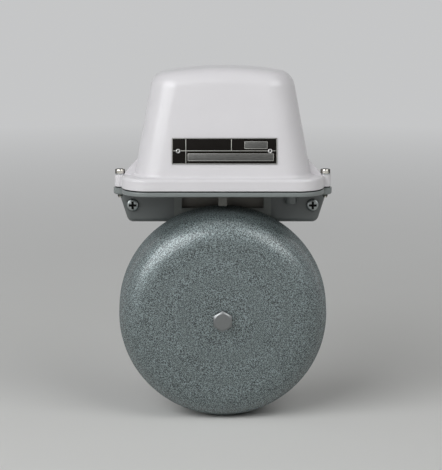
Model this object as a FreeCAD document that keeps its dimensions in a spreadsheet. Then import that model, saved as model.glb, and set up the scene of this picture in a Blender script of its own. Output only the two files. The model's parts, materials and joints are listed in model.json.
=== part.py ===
import FreeCAD, Part
import math
import os
import re
import Sketcher

# Weatherproof single-gong electric bell for wall mounting, in millimetres.
# The origin is the centre of the wall-screw pattern on the wall plane, the front faces -Y and +Z is up.

Vector = FreeCAD.Vector
doc = FreeCAD.newDocument("Bell")

# Driving sizes
SIZES = {
    # wall plate and its pattern of wall screws
    "plate_thickness": 2.5,
    "plate_top_width": 96.0,
    "plate_edge_margin": 9.0,
    "plate_inset": 0.6,
    "wall_hole_across": 80.0,
    "wall_hole_rise": 60.0,
    "wall_hole_diameter": 5.5,
    # heights of the seam and the gong
    "seam_drop": 14.3,
    "gong_drop": 89.7,
    # clearances
    "thread_play": 0.05,
    "screw_play": 0.3,
    "seat_play": 0.15,
    "dome_play": 0.05,
    # footprint of the casting flanges
    "flange_width": 144.4,
    "flange_front": 52.0,
    "flange_back": 6.0,
    "flange_front_corner": 19.0,
    "flange_back_corner": 8.0,
    "base_flange_thickness": 3.3,
    "gasket_thickness": 0.8,
    "gasket_inset": 0.7,
    "gasket_lip": 1.0,
    # ears with the hood screws
    "ear_offset": 73.3,
    "ear_behind_front": 25.0,
    "ear_root": 62.0,
    "hood_ear_radius": 3.8,
    "base_ear_radius": 4.7,
    "base_ear_thickness": 5.0,
    "hood_screw_radius": 2.0,
    "hood_screw_length": 17.5,
    "hood_screw_head_radius": 3.5,
    "hood_screw_head_height": 3.0,
    "hood_washer_radius": 3.6,
    "hood_washer_thickness": 1.0,
    "captive_ring_radius": 3.2,
    "captive_ring_thickness": 0.8,
    # apron that hangs behind the gong
    "apron_front": 12.5,
    "apron_top_half": 76.1,
    "apron_bottom_half": 68.2,
    "apron_drop": 28.3,
    "apron_wall": 2.5,
    "apron_front_wall": 3.0,
    "apron_edge_radius": 3.2,
    "apron_corner_radius": 5.0,
    "apron_window_half": 30.6,
    "housing_screw_inset": 7.2,
    "housing_screw_drop": 15.6,
    "housing_screw_radius": 2.5,
    "housing_screw_head_radius": 4.5,
    "housing_screw_head_height": 2.6,
    "housing_boss_radius": 6.2,
    "clinch_nut_radius": 4.6,
    "clinch_nut_height": 3.0,
    "clinch_shank_radius": 3.2,
    # cable entry
    "cable_x": 49.0,
    "cable_y": 15.0,
    "cable_boss_radius": 4.4,
    "cable_boss_drop": 10.7,
    "cable_seat_radius": 3.2,
    "cable_bore_radius": 2.1,
    "grommet_flange_radius": 4.6,
    "grommet_flange_height": 1.2,
    # gong and what carries it
    "gong_radius": 75.0,
    "gong_depth": 44.0,
    "gong_wall": 2.5,
    "gong_taper": 1.5,
    "gong_dome": 2.0,
    "gong_shoulder_radius": 20.0,
    "gong_rim_gap": 2.5,
    "gong_bolt_radius": 4.0,
    "gong_bolt_flats": 13.0,
    "gong_bolt_head_height": 5.3,
    "gong_bolt_tail": 1.2,
    "gong_post_radius": 8.0,
    "gong_washer_thickness": 1.0,
    "lock_washer_thickness": 2.0,
    "lock_washer_radius": 7.0,
    "gong_nut_height": 6.5,
    # steel bracket behind the gong
    "bracket_thickness": 2.5,
    "bracket_half_width": 35.0,
    "bracket_foot_half_width": 17.0,
    "bracket_straight_drop": 28.0,
    "bracket_foot_rise": 8.0,
    "bracket_foot_drop": 17.0,
    "bracket_shelf_depth": 15.5,
    "window_half_width": 29.5,
    "window_sill_drop": 17.6,
    "window_lintel": 3.4,
    "bracket_screw_x": 30.0,
    "bracket_screw_y": 17.6,
    "apron_screw_x": 24.0,
    "apron_screw_drop": 21.4,
    # hood
    "hood_flange_rise": 8.7,
    "hood_flange_edge": 2.2,
    "hood_ear_drop": 0.4,
    "hood_foot_half_width": 62.9,
    "hood_foot_front": 47.6,
    "hood_height": 84.8,
    "hood_side_lean": 10.5,
    "hood_front_lean": 8.0,
    "hood_back_lean": 0.8,
    "hood_front_corner": 20.0,
    "hood_back_edge": 2.5,
    "hood_crown_radius": 250.0,
    "hood_top_edge": 13.0,
    "hood_wall": 3.0,
    "gusset_thickness": 4.0,
    "gusset_rise": 11.2,
    "gusset_reach": 71.0,
    # nameplate
    "nameplate_width": 74.1,
    "nameplate_height": 18.5,
    "nameplate_thickness": 0.8,
    "nameplate_x": 1.2,
    "nameplate_rise": 27.8,
    "nameplate_rivet_left": 4.4,
    "nameplate_rivet_right": 4.9,
    "nameplate_rivet_radius": 1.0,
    "nameplate_rivet_head": 1.75,
    # hammer and armature
    "swing_angle": 3.8,
    "pivot_gap": 2.0,
    "pivot_rise": 22.0,
    "pivot_pin_radius": 2.5,
    "bush_wall": 1.0,
    "armature_width": 13.0,
    "armature_thickness": 6.0,
    "armature_overhang": 2.0,
    "armature_tail": 6.0,
    "hammer_behind_front": 17.5,
    "striker_width": 6.1,
    "striker_length": 30.0,
    "striker_flat": 12.0,
    "strike_air": 0.2,
    "arm_width": 12.0,
    "arm_thickness": 2.0,
    "arm_rivet_radius": 1.5,
    # slot of the hammer in the base
    "slot_half_width": 8.0,
    "slot_play": 1.0,
    "slot_rim_wall": 1.5,
    "slot_rim_rise": 1.2,
    # magnet
    "mechanism_y": 24.5,
    "frame_thickness": 1.6,
    "frame_left_margin": 3.0,
    "frame_right_margin": 4.0,
    "frame_front": 38.0,
    "frame_back": 10.5,
    "frame_upright_half": 38.0,
    "frame_upright_rise": 69.0,
    "core_leg_offset": 20.0,
    "core_leg_width": 10.0,
    "core_stack": 12.0,
    "yoke_height": 11.0,
    "coil_height": 24.0,
    "former_flange_radius": 12.0,
    "former_flange_thickness": 1.5,
    "former_tube_radius": 9.0,
    "coil_radius": 10.8,
    "coil_play": 0.3,
    "pole_stand": 1.7,
    "pole_shim_thickness": 0.3,
    "pole_air": 0.15,
    "core_screw_radius": 2.0,
    "core_screw_reach": 6.0,
    # small steel brackets inside the hood
    "small_plate": 2.0,
    "small_screw_radius": 1.5,
    "small_head_radius": 2.75,
    "small_head_height": 1.8,
    "medium_screw_radius": 2.0,
    "medium_head_radius": 3.5,
    "medium_head_height": 2.4,
    "fork_play": 0.4,
    "fork_half_length": 8.0,
    "fork_crest": 5.5,
    "clip_radius": 4.2,
    "clip_thickness": 0.8,
    "pin_tail": 1.6,
    "stop_leg_gap": 4.0,
    "stop_foot_length": 10.0,
    "stop_y": 28.0,
    "stop_width": 12.0,
    "stop_screw_inset": 3.0,
    "stop_rise": 57.0,
    "stop_overhang": 6.0,
    "stop_screw_radius": 2.0,
    "stop_screw_above": 9.0,
    "stop_nut_flats": 7.0,
    "stop_nut_height": 3.2,
    # return spring
    "spring_radius": 3.2,
    "spring_wire_radius": 0.45,
    "spring_turns": 8,
    # terminals
    "block_width": 30.0,
    "block_depth": 11.0,
    "block_height": 12.0,
    "block_x": 18.0,
    "block_rise": 62.0,
    "terminal_pitch": 12.0,
    "block_screw_offset": 12.6,
    "earth_x": 27.0,
    "earth_rise": 60.0,
    "lead_radius": 0.8,
}

# Places that follow from the driving sizes
PLACES = {
    "base_top": "-seam_drop",
    "base_under": "base_top - base_flange_thickness",
    "gong_z": "base_top - gong_drop",
    "hood_bottom": "base_top + gasket_thickness",
    "ledge_z": "hood_bottom + hood_flange_rise",
    "ear_top": "ledge_z - hood_ear_drop",
    "hood_top": "hood_bottom + hood_height",
    "ear_y": "ear_behind_front - flange_front",
    "apron_bottom": "base_top - apron_drop",
    "housing_screw_z": "base_top - housing_screw_drop",
    "apron_lean": "(apron_top_half - apron_bottom_half) / (apron_drop - base_flange_thickness)",
    "housing_screw_offset": "apron_top_half - apron_lean * (base_under - housing_screw_z) - housing_screw_inset",
    "bracket_face": "apron_front + bracket_thickness",
    "rim_y": "bracket_face + gong_rim_gap",
    "gong_face": "rim_y + gong_depth",
    "hammer_y": "flange_front - hammer_behind_front",
    "sill_z": "base_top - window_sill_drop",
    "lintel_z": "base_under - window_lintel",
    "apron_screw_z": "base_top - apron_screw_drop",
    "frame_top": "base_top + frame_thickness",
    "yoke_top": "frame_top + yoke_height",
    "coil_top": "yoke_top + coil_height + 2 * coil_play",
    "pole_z": "coil_top + pole_stand",
    "pivot_x": "core_leg_offset + former_flange_radius + pivot_gap + fork_half_length",
    "pivot_z": "base_top + pivot_rise",
    "bush_radius": "pivot_pin_radius + bush_wall",
    "bar_under": "pole_z + pole_shim_thickness + pole_air - pivot_z",
    "bar_top": "bar_under + armature_thickness",
    "wall_at_hammer": "gong_radius - gong_taper * (hammer_y - rim_y) / gong_depth",
    "strike_drop": "(pivot_x + striker_width / 2) * sin(swing_angle)",
    "striker_foot": "(gong_z + wall_at_hammer + strike_air + strike_drop - pivot_z) / cos(swing_angle)",
    "striker_head": "striker_foot + striker_length",
    "hammer_reach": "pivot_x * cos(swing_angle)",
    "arm_foot": "striker_head - striker_flat",
    "rivet_low": "arm_foot + striker_flat * 0.25",
    "rivet_high": "arm_foot + striker_flat * 0.75",
    "hammer_gap": "hammer_y - mechanism_y",
    "fork_inner": "armature_width / 2 + fork_play",
    "fork_outer": "fork_inner + small_plate",
    "stop_z": "base_top + stop_rise",
    "armature_end": "core_leg_offset + core_leg_width / 2 + armature_overhang",
    "armature_reach": "pivot_x + armature_end",
    "stop_screw_x": "armature_end - stop_screw_inset",
    "stop_leg_x": "core_leg_offset + former_flange_radius + stop_leg_gap",
    "frame_left": "pivot_x + fork_half_length + frame_left_margin",
    "frame_right": "stop_leg_x + small_plate + frame_right_margin",
    "foot_drop": "ledge_z - hood_bottom",
    "side_tan": "tan(hood_side_lean)",
    "front_tan": "tan(hood_front_lean)",
    "back_tan": "tan(hood_back_lean)",
    "nameplate_z": "hood_bottom + nameplate_rise",
    "nameplate_y": "hood_foot_front - (nameplate_z - ledge_z) * front_tan",
    "block_z": "base_top + block_rise",
    "earth_z": "base_top + earth_rise",
}

NODES = []


# Spreadsheets and formulas
def make_sheet(name):
    sheet = doc.addObject("Spreadsheet::Sheet", name)
    sheet.Label = name
    return sheet


sizes_sheet = make_sheet("Sizes")
places_sheet = make_sheet("Places")


def full(formula):
    """Put the sheet's name before each named size in a formula."""
    def owner(match):
        word = match.group()
        if word in SIZES:
            return "Sizes." + word
        if word in PLACES:
            return "Places." + word
        return word
    return re.sub(r"[a-z_]\w*", owner, str(formula))


for row, (name, size) in enumerate(SIZES.items(), start=1):
    sizes_sheet.set(f"A{row}", name)
    sizes_sheet.set(f"B{row}", str(size))
    sizes_sheet.setAlias(f"B{row}", name)
doc.recompute()
for row, (name, formula) in enumerate(PLACES.items(), start=1):
    places_sheet.set(f"A{row}", name)
    places_sheet.setAlias(f"B{row}", name)
    places_sheet.set(f"B{row}", "=" + full(formula))
    doc.recompute()


def number(formula):
    return float(sizes_sheet.evalExpression(full(formula)))


def bind(thing, **formulas):
    """Tie properties to formulas; a double underscore in a name stands for a dot."""
    for key, formula in formulas.items():
        thing.setExpression(key.replace("__", "."), full(formula))


def place(thing, x=0, y=0, z=0, axis=None, angle=0):
    """Set a placement whose position, and turn where given, follow formulas."""
    turn = FreeCAD.Rotation(axis or Vector(0, 0, 1), number(angle))
    thing.Placement = FreeCAD.Placement(Vector(number(x), number(y), number(z)), turn)
    bind(thing, Placement__Base__x=x, Placement__Base__y=y, Placement__Base__z=z)
    if axis:
        bind(thing, Placement__Rotation__Angle=angle)
    return thing


def node(thing, name):
    thing.Label = name
    NODES.append(thing)
    return thing


# Sketches
def sketch_on(body, role, lift=0):
    """A sketch on one of the body's own planes: top is XY, front is XZ facing -Y, side is YZ."""
    plane_role = {"top": "XY_Plane", "front": "XZ_Plane", "side": "YZ_Plane"}[role]
    sketch = body.newObject("Sketcher::SketchObject", body.Name + "_sketch")
    plane = next(f for f in body.Origin.OriginFeatures if f.Role == plane_role)
    sketch.AttachmentSupport = [(plane, "")]
    sketch.MapMode = "FlatFace"
    bind(sketch, AttachmentOffset__Base__z=lift)
    return sketch


def hold(sketch, kind, *where):
    """Add one dimension whose last argument is a formula."""
    *places, formula = where
    index = sketch.addConstraint(Sketcher.Constraint(kind, *places, number(formula)))
    label = f"size{index}"
    sketch.renameConstraint(index, label)
    sketch.setExpression("Constraints." + label, full(formula))


def circle(sketch, x, y, radius):
    centre = Vector(number(x), number(y), 0)
    index = sketch.addGeometry(Part.Circle(centre, Vector(0, 0, 1), number(radius)))
    hold(sketch, "DistanceX", index, 3, x)
    hold(sketch, "DistanceY", index, 3, y)
    hold(sketch, "Radius", index, radius)


def arc_between(start, end, radius, side):
    """The arc of under half a turn with its centre left (side 1) or right (side -1) of the chord."""
    chord = end - start
    half = chord.Length / 2
    left = Vector(-chord.y, chord.x, 0).normalize()
    reach = math.sqrt(max(radius * radius - half * half, 0))
    centre = (start + end) * 0.5 + left * (side * reach)
    first, last = (start, end) if side > 0 else (end, start)
    begin = math.atan2(first.y - centre.y, first.x - centre.x)
    finish = math.atan2(last.y - centre.y, last.x - centre.x)
    return Part.ArcOfCircle(Part.Circle(centre, Vector(0, 0, 1), radius), begin, finish)


def outline(sketch, corners):
    """A closed outline of (x, y) corners. A third value is the radius of an arc to the next corner,
    and a fourth of -1 puts its centre to the right."""
    points = [Vector(number(corner[0]), number(corner[1]), 0) for corner in corners]
    edges = []
    for i, corner in enumerate(corners):
        start, end = points[i], points[(i + 1) % len(corners)]
        if len(corner) == 2:
            index = sketch.addGeometry(Part.LineSegment(start, end))
            edges.append((index, 1, 2))
            continue
        side = corner[3] if len(corner) == 4 else 1
        index = sketch.addGeometry(arc_between(start, end, number(corner[2]), side))
        edges.append((index, 1, 2) if side > 0 else (index, 2, 1))
    for i, corner in enumerate(corners):
        index, first, last = edges[i]
        before, before_first, before_last = edges[i - 1]
        sketch.addConstraint(Sketcher.Constraint("Coincident", before, before_last, index, first))
        hold(sketch, "DistanceX", index, first, corner[0])
        hold(sketch, "DistanceY", index, first, corner[1])
    for (index, first, last), corner in zip(edges, corners):
        if len(corner) > 2:
            hold(sketch, "Radius", index, corner[2])


def rectangle(x0, x1, y0, y1):
    return [(x0, y0), (x1, y0), (x1, y1), (x0, y1)]


def rounded(half, y0, y1, low_corner, high_corner):
    """A rectangle about x = 0 with one radius for its low corners and one for its high corners."""
    low, high = f"({low_corner})", f"({high_corner})"
    side = f"({half})"
    return [
        (f"-{side} + {low}", y0), (f"{side} - {low}", y0, low),
        (side, f"{y0} + {low}"), (side, f"{y1} - {high}", high),
        (f"{side} - {high}", y1), (f"-{side} + {high}", y1, high),
        (f"-{side}", f"{y1} - {high}"), (f"-{side}", f"{y0} + {low}", low),
    ]


def bowed(half, y0, y1, corner):
    """A rectangle about x = 0 whose two low corners are rounded."""
    side = f"({half})"
    return [
        (f"-{side} + {corner}", y0), (f"{side} - {corner}", y0, corner), (side, f"{y0} + {corner}"),
        (side, y1), (f"-{side}", y1), (f"-{side}", f"{y0} + {corner}", corner),
    ]


def lug(side, root, tip, y, radius):
    """An outline that runs out along X from root to a round end about tip."""
    if side > 0:
        return [(root, f"{y} - {radius}"), (tip, f"{y} - {radius}", radius), (f"{tip} + {radius}", y, radius),
                (tip, f"{y} + {radius}"), (root, f"{y} + {radius}")]
    return [(f"-{root}", f"{y} + {radius}"), (f"-{tip}", f"{y} + {radius}", radius),
            (f"-{tip} - {radius}", y, radius), (f"-{tip}", f"{y} - {radius}"), (f"-{root}", f"{y} - {radius}")]


# Features
def new_body(name):
    body = doc.addObject("PartDesign::Body", name)
    body.Label = name
    return body


def feature(body, kind, **settings):
    made = body.newObject("PartDesign::" + kind, f"{body.Name}_{kind}")
    for key, setting in settings.items():
        setattr(made, key, setting)
    return made


def pad(body, sketch, length, back=False, middle=False):
    made = feature(body, "Pad", Profile=sketch, Reversed=back)
    made.SideType = "Symmetric" if middle else "One side"
    bind(made, Length=length)
    doc.recompute()
    return made


def pocket(body, sketch, length, back=False, middle=False):
    """Cut a profile; a pocket runs against the sketch's normal unless it is turned back."""
    before = body.Shape.Volume
    made = feature(body, "Pocket", Profile=sketch, Reversed=back)
    made.SideType = "Symmetric" if middle else "One side"
    bind(made, Length=length)
    doc.recompute()
    if not before - body.Shape.Volume > 1e-6:
        raise RuntimeError(f"{made.Name} cuts nothing")
    return made


def round_edges(body, radius, chosen):
    names = [f"Edge{i}" for i, edge in enumerate(body.Tip.Shape.Edges, start=1) if chosen(edge)]
    if not names:
        raise RuntimeError(f"no edge to round on {body.Name}")
    made = feature(body, "Fillet", Base=(body.Tip, names))
    bind(made, Radius=radius)
    doc.recompute()
    return made


def close(a, b):
    return abs(a - b) < 1e-4


def level(edge, z):
    box = edge.BoundBox
    return close(box.ZMin, z) and close(box.ZMax, z)


def upright(edge):
    return edge.BoundBox.ZLength > 0.01 and edge.BoundBox.XLength < 0.01 and edge.BoundBox.YLength < 0.01


def spun(name, corners):
    """A body turned about its own Z axis from an outline of (radius, height) corners."""
    body = new_body(name)
    sketch = sketch_on(body, "front")
    outline(sketch, corners)
    made = feature(body, "Revolution", Profile=sketch, ReferenceAxis=(sketch, ["V_Axis"]))
    made.Angle = 360
    doc.recompute()
    return body


def ring(name, inner, outer, height):
    return spun(name, [(inner, 0), (outer, 0), (outer, height), (inner, height)])


def hexagon(sketch, flats):
    """Six flats about the origin, with two corners on the Y axis."""
    half, corner = f"({flats}) / 2", f"({flats}) / sqrt(3)"
    outline(sketch, [
        (0, f"-{corner}"), (half, f"-{corner} / 2"), (half, f"{corner} / 2"),
        (0, corner), (f"-{half}", f"{corner} / 2"), (f"-{half}", f"-{corner} / 2"),
    ])


def bevel_corners(body, flats, height):
    """Trim the corners of a hexagon's top to a cone of thirty degrees."""
    sketch = sketch_on(body, "front")
    face, corner = f"({flats}) * 0.475", f"({flats}) * 0.6"
    outline(sketch, [(face, height), (corner, f"{height} - ({corner} - {face}) * tan(30)"), (corner, height)])
    feature(body, "Groove", Profile=sketch, ReferenceAxis=(sketch, ["V_Axis"])).Angle = 360
    doc.recompute()


def screw(name, radius, length, head_radius, head_height, drive):
    """A screw with the underside of its head at its origin and its head upwards."""
    dome = f"({head_height}) * 0.35"
    body = spun(name, [
        (0, f"-({length})"), (f"{radius} * 0.7", f"-({length})"), (radius, f"-({length}) + {radius} * 0.3"),
        (radius, 0), (head_radius, 0), (head_radius, f"{head_height} - {dome}"),
        (f"{head_radius} - {dome}", head_height), (0, head_height),
    ])
    half, reach = f"{head_radius} * 0.13", f"{head_radius} * 0.58"
    if drive == "slot":
        reach = f"{head_radius} * 1.2"
    sketch = sketch_on(body, "top", head_height)
    if drive == "cross":
        outline(sketch, [
            (f"-{reach}", f"-{half}"), (f"-{half}", f"-{half}"), (f"-{half}", f"-{reach}"), (half, f"-{reach}"),
            (half, f"-{half}"), (reach, f"-{half}"), (reach, half), (half, half),
            (half, reach), (f"-{half}", reach), (f"-{half}", half), (f"-{reach}", half),
        ])
    else:
        outline(sketch, rectangle(f"-{reach}", reach, f"-{half}", half))
    pocket(body, sketch, f"{head_height} * 0.6")
    return body


FACING = {"up": (Vector(1, 0, 0), 0), "down": (Vector(1, 0, 0), 180),
          "front": (Vector(1, 0, 0), 90), "back": (Vector(1, 0, 0), -90)}


def group(name, master, spots, facing):
    """One node of identical pieces: links to a master piece at several places."""
    links = []
    for x, y, z in spots:
        link = doc.addObject("App::Link", name + "_copy")
        link.LinkedObject = master
        axis, angle = FACING[facing]
        place(link, x, y, z, axis, angle)
        links.append(link)
    compound = doc.addObject("Part::Compound", name)
    compound.Links = links
    doc.recompute()
    return node(compound, name)


def stand(body, name, x, y, z, facing):
    axis, angle = FACING[facing]
    place(body, x, y, z, axis, angle)
    return node(body, name)


# Wall plate with its clinched nuts
def make_back_plate():
    body = new_body("back_plate")
    top, half = "wall_hole_rise / 2 + plate_edge_margin", "plate_top_width / 2"
    foot, wide = "(apron_bottom_half - plate_inset)", "(apron_top_half - plate_inset)"
    low = "apron_bottom + plate_inset"
    sketch = sketch_on(body, "front")
    outline(sketch, [
        (f"-{foot}", low), (foot, low), (wide, "base_under"), (half, "base_under"),
        (half, top), (f"-{half}", top), (f"-{half}", "base_under"), (f"-{wide}", "base_under"),
    ])
    for side in ("-1", "1"):
        for rise in ("-1", "1"):
            circle(sketch, f"{side} * wall_hole_across / 2", f"{rise} * wall_hole_rise / 2", "wall_hole_diameter / 2")
        circle(sketch, f"{side} * housing_screw_offset", "housing_screw_z", "clinch_shank_radius + thread_play")
    pad(body, sketch, "plate_thickness")
    height = number(top)
    bottom = number(low)
    round_edges(body, "apron_corner_radius", lambda e: e.BoundBox.YLength > 1 and e.BoundBox.ZLength < 0.01
                and e.BoundBox.XLength < 0.01 and (close(e.BoundBox.ZMin, height) or close(e.BoundBox.ZMin, bottom)))
    node(body, "back_plate")
    nut = spun("clinch_nut", [
        ("housing_screw_radius + thread_play", "-plate_thickness"), ("clinch_shank_radius", "-plate_thickness"),
        ("clinch_shank_radius", 0), ("clinch_nut_radius", 0), ("clinch_nut_radius", "clinch_nut_height"),
        ("housing_screw_radius + thread_play", "clinch_nut_height"),
    ])
    spots = [(f"{side} * housing_screw_offset", "-plate_thickness", "housing_screw_z") for side in ("-1", "1")]
    group("clinch_nuts", nut, spots, "front")


# Base casting
def make_base_housing():
    body = new_body("base_housing")
    sketch = sketch_on(body, "top", "base_top")
    outline(sketch, rounded("flange_width / 2", "-flange_front", "-flange_back",
                            "flange_front_corner", "flange_back_corner"))
    pad(body, sketch, "base_flange_thickness", back=True)
    under, top = number("base_under"), number("base_top")
    round_edges(body, "base_flange_thickness * 0.3", lambda e: level(e, under) or level(e, top))
    sketch = sketch_on(body, "top", "base_top")
    outline(sketch, lug(1, "ear_root", "ear_offset", "ear_y", "base_ear_radius"))
    outline(sketch, lug(-1, "ear_root", "ear_offset", "ear_y", "base_ear_radius"))
    pad(body, sketch, "base_ear_thickness", back=True)
    ear_under = number("base_top - base_ear_thickness")
    reach = number("ear_root") + 1
    round_edges(body, "base_ear_thickness * 0.35",
                lambda e: level(e, ear_under) and max(abs(e.BoundBox.XMin), abs(e.BoundBox.XMax)) > reach)
    make_apron(body)
    # rim and slot of the hammer
    near, far = "hammer_y + striker_width / 2 + slot_play", "hammer_y - striker_width / 2 - slot_play"
    sketch = sketch_on(body, "top", "base_top")
    outline(sketch, rectangle("-slot_half_width - slot_rim_wall", "slot_half_width + slot_rim_wall",
                              f"-({near}) - slot_rim_wall", f"-({far}) + slot_rim_wall"))
    pad(body, sketch, "slot_rim_rise")
    sketch = sketch_on(body, "top", "base_top + slot_rim_rise")
    outline(sketch, rectangle("-slot_half_width", "slot_half_width", f"-({near})", f"-({far})"))
    pocket(body, sketch, "slot_rim_rise + base_flange_thickness + 1")
    # cable boss
    sketch = sketch_on(body, "top", "base_under")
    circle(sketch, "cable_x", "-cable_y", "cable_boss_radius")
    pad(body, sketch, "cable_boss_drop", back=True)
    boss_foot = number("base_under - cable_boss_drop")
    round_edges(body, "cable_boss_radius * 0.25", lambda e: level(e, boss_foot))
    sketch = sketch_on(body, "top", "base_top")
    circle(sketch, "cable_x", "-cable_y", "cable_seat_radius + seat_play")
    pocket(body, sketch, "base_flange_thickness + cable_boss_drop + 1")
    # tapped ears, holes for the bracket, the magnet fork and the stop
    sketch = sketch_on(body, "top", "base_top")
    for side in ("-1", "1"):
        circle(sketch, f"{side} * ear_offset", "ear_y", "hood_screw_radius + thread_play")
        circle(sketch, f"{side} * bracket_screw_x", "-bracket_screw_y", "medium_screw_radius + screw_play")
    for x, y in small_screw_spots():
        circle(sketch, x, y, "small_screw_radius + thread_play")
    pocket(body, sketch, "base_ear_thickness + 1")
    node(body, "base_housing")


def make_apron(body):
    """The apron: a shell open to the wall, with two screw bosses and a window."""
    sketch = sketch_on(body, "front", "plate_thickness")
    outline(sketch, [("-apron_bottom_half", "apron_bottom"), ("apron_bottom_half", "apron_bottom"),
                     ("apron_top_half", "base_under"), ("-apron_top_half", "base_under")])
    pad(body, sketch, "apron_front - plate_thickness")
    bottom, front = number("apron_bottom"), -number("apron_front")
    round_edges(body, "apron_corner_radius", lambda e: close(e.BoundBox.ZMax, bottom)
                and e.BoundBox.YLength > 1 and e.BoundBox.XLength < 0.01)
    under = number("base_under")
    round_edges(body, "apron_edge_radius", lambda e: close(e.BoundBox.YMin, front) and close(e.BoundBox.YMax, front)
                and e.BoundBox.ZMin < under - 0.5)
    lean = "(apron_top_half - apron_bottom_half)"
    sketch = sketch_on(body, "front", "plate_thickness")
    low, high = "(apron_bottom_half - apron_wall)", "(apron_top_half - apron_wall)"
    outline(sketch, [(f"-{low}", "apron_bottom + apron_wall"), (low, "apron_bottom + apron_wall"),
                     (f"{high} - {lean} * 0.05", "base_under"), (f"-{high} + {lean} * 0.05", "base_under")])
    pocket(body, sketch, "apron_front - plate_thickness - apron_front_wall", back=True)
    sketch = sketch_on(body, "front", "plate_thickness")
    for side in ("-1", "1"):
        circle(sketch, f"{side} * housing_screw_offset", "housing_screw_z", "housing_boss_radius")
    pad(body, sketch, "apron_front - plate_thickness - apron_front_wall / 2")
    sketch = sketch_on(body, "front", "plate_thickness")
    for side in ("-1", "1"):
        circle(sketch, f"{side} * housing_screw_offset", "housing_screw_z", "housing_screw_radius + screw_play")
        circle(sketch, f"{side} * apron_screw_x", "apron_screw_z", "small_screw_radius + screw_play")
    outline(sketch, rectangle("-apron_window_half", "apron_window_half", "sill_z - 1", "lintel_z + 1"))
    pocket(body, sketch, "apron_front", back=True)
    sketch = sketch_on(body, "front", "plate_thickness")
    for side in ("-1", "1"):
        circle(sketch, f"{side} * housing_screw_offset", "housing_screw_z", "clinch_nut_radius + seat_play")
    pocket(body, sketch, "clinch_nut_height + seat_play", back=True)


def small_screw_spots():
    """Screws of the magnet fork and of the stop, in plan."""
    return [("-pivot_x - 4.2", "-mechanism_y"), ("-pivot_x + 4.2", "-mechanism_y"),
            ("stop_leg_x - 5", "-stop_y + 3.2"), ("stop_leg_x - 5", "-stop_y - 3.4")]


def make_base_fittings():
    housing = screw("housing_screw", "housing_screw_radius", "apron_front - 0.6",
                    "housing_screw_head_radius", "housing_screw_head_height", "cross")
    spots = [(f"{side} * housing_screw_offset", "-apron_front", "housing_screw_z") for side in ("-1", "1")]
    group("housing_screws", housing, spots, "front")
    body = new_body("base_gasket")
    sketch = sketch_on(body, "top", "base_top")
    outline(sketch, rounded("flange_width / 2 - gasket_inset", "-flange_front + gasket_inset",
                            "-flange_back - gasket_inset", "flange_front_corner - gasket_inset",
                            "flange_back_corner - gasket_inset"))
    inner_half = "hood_foot_half_width - hood_wall + foot_drop * side_tan + gasket_lip"
    inner_front = "hood_foot_front - hood_wall + foot_drop * front_tan + gasket_lip"
    outline(sketch, rounded(inner_half, f"-({inner_front})", "-flange_back - hood_wall + gasket_lip * 0.6",
                            "hood_front_corner - hood_wall + gasket_lip",
                            "gasket_lip"))
    pad(body, sketch, "gasket_thickness")
    sketch = sketch_on(body, "top", "base_top")
    root = f"({inner_half}) + gasket_lip"
    for side in (1, -1):
        outline(sketch, lug(side, f"({root})", "ear_offset", "ear_y", "(hood_ear_radius - gasket_inset / 2)"))
    pad(body, sketch, "gasket_thickness")
    sketch = sketch_on(body, "top", "base_top + gasket_thickness")
    for side in ("-1", "1"):
        circle(sketch, f"{side} * ear_offset", "ear_y", "hood_screw_radius + screw_play")
    pocket(body, sketch, "gasket_thickness + 1")
    node(body, "base_gasket")
    grommet = spun("cable_grommet", [
        ("cable_bore_radius", "-base_flange_thickness - cable_boss_drop"),
        ("cable_seat_radius", "-base_flange_thickness - cable_boss_drop"), ("cable_seat_radius", 0),
        ("grommet_flange_radius", 0), ("grommet_flange_radius", "grommet_flange_height"),
        ("cable_bore_radius", "grommet_flange_height"),
    ])
    stand(grommet, "cable_grommet", "cable_x", "-cable_y", "base_top", "up")


# Gong, its bracket, post and bolt
def make_gong():
    body = new_body("gong")
    sketch = sketch_on(body, "side")
    edge = "(gong_depth - gong_dome)"
    dome = "((gong_radius^2 + gong_dome^2) / (2 * gong_dome))"
    sag = "(gong_bolt_radius + screw_play)^2 / (2 * gong_dome_radius)".replace("gong_dome_radius", dome)
    outer, inner = "gong_radius - gong_taper", "gong_radius - gong_taper - gong_wall"
    hole = "gong_bolt_radius + screw_play"
    outline(sketch, [
        (0, "gong_radius - gong_wall"), (0, "gong_radius"), (f"-{edge}", outer, dome, 1),
        (f"-gong_depth + {sag}", hole), (f"-gong_depth + gong_wall + {sag}", hole, dome, -1),
        (f"-{edge} + gong_wall", inner),
    ])
    turned = feature(body, "Revolution", Profile=sketch, ReferenceAxis=(sketch, ["H_Axis"]))
    turned.Angle = 360
    doc.recompute()
    face, wall = -number(edge), number("gong_wall")
    big = number(inner) - 1
    for y, radius in ((face, "gong_shoulder_radius"), (face + wall, "gong_shoulder_radius - gong_wall")):
        round_edges(body, radius, lambda e: close(e.BoundBox.YMin, y) and close(e.BoundBox.YMax, y)
                    and e.BoundBox.ZMax > big)
    round_edges(body, "gong_wall * 0.3", lambda e: close(e.BoundBox.YMin, 0) and close(e.BoundBox.YMax, 0))
    place(body, 0, "-rim_y", "gong_z")
    node(body, "gong")


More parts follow.
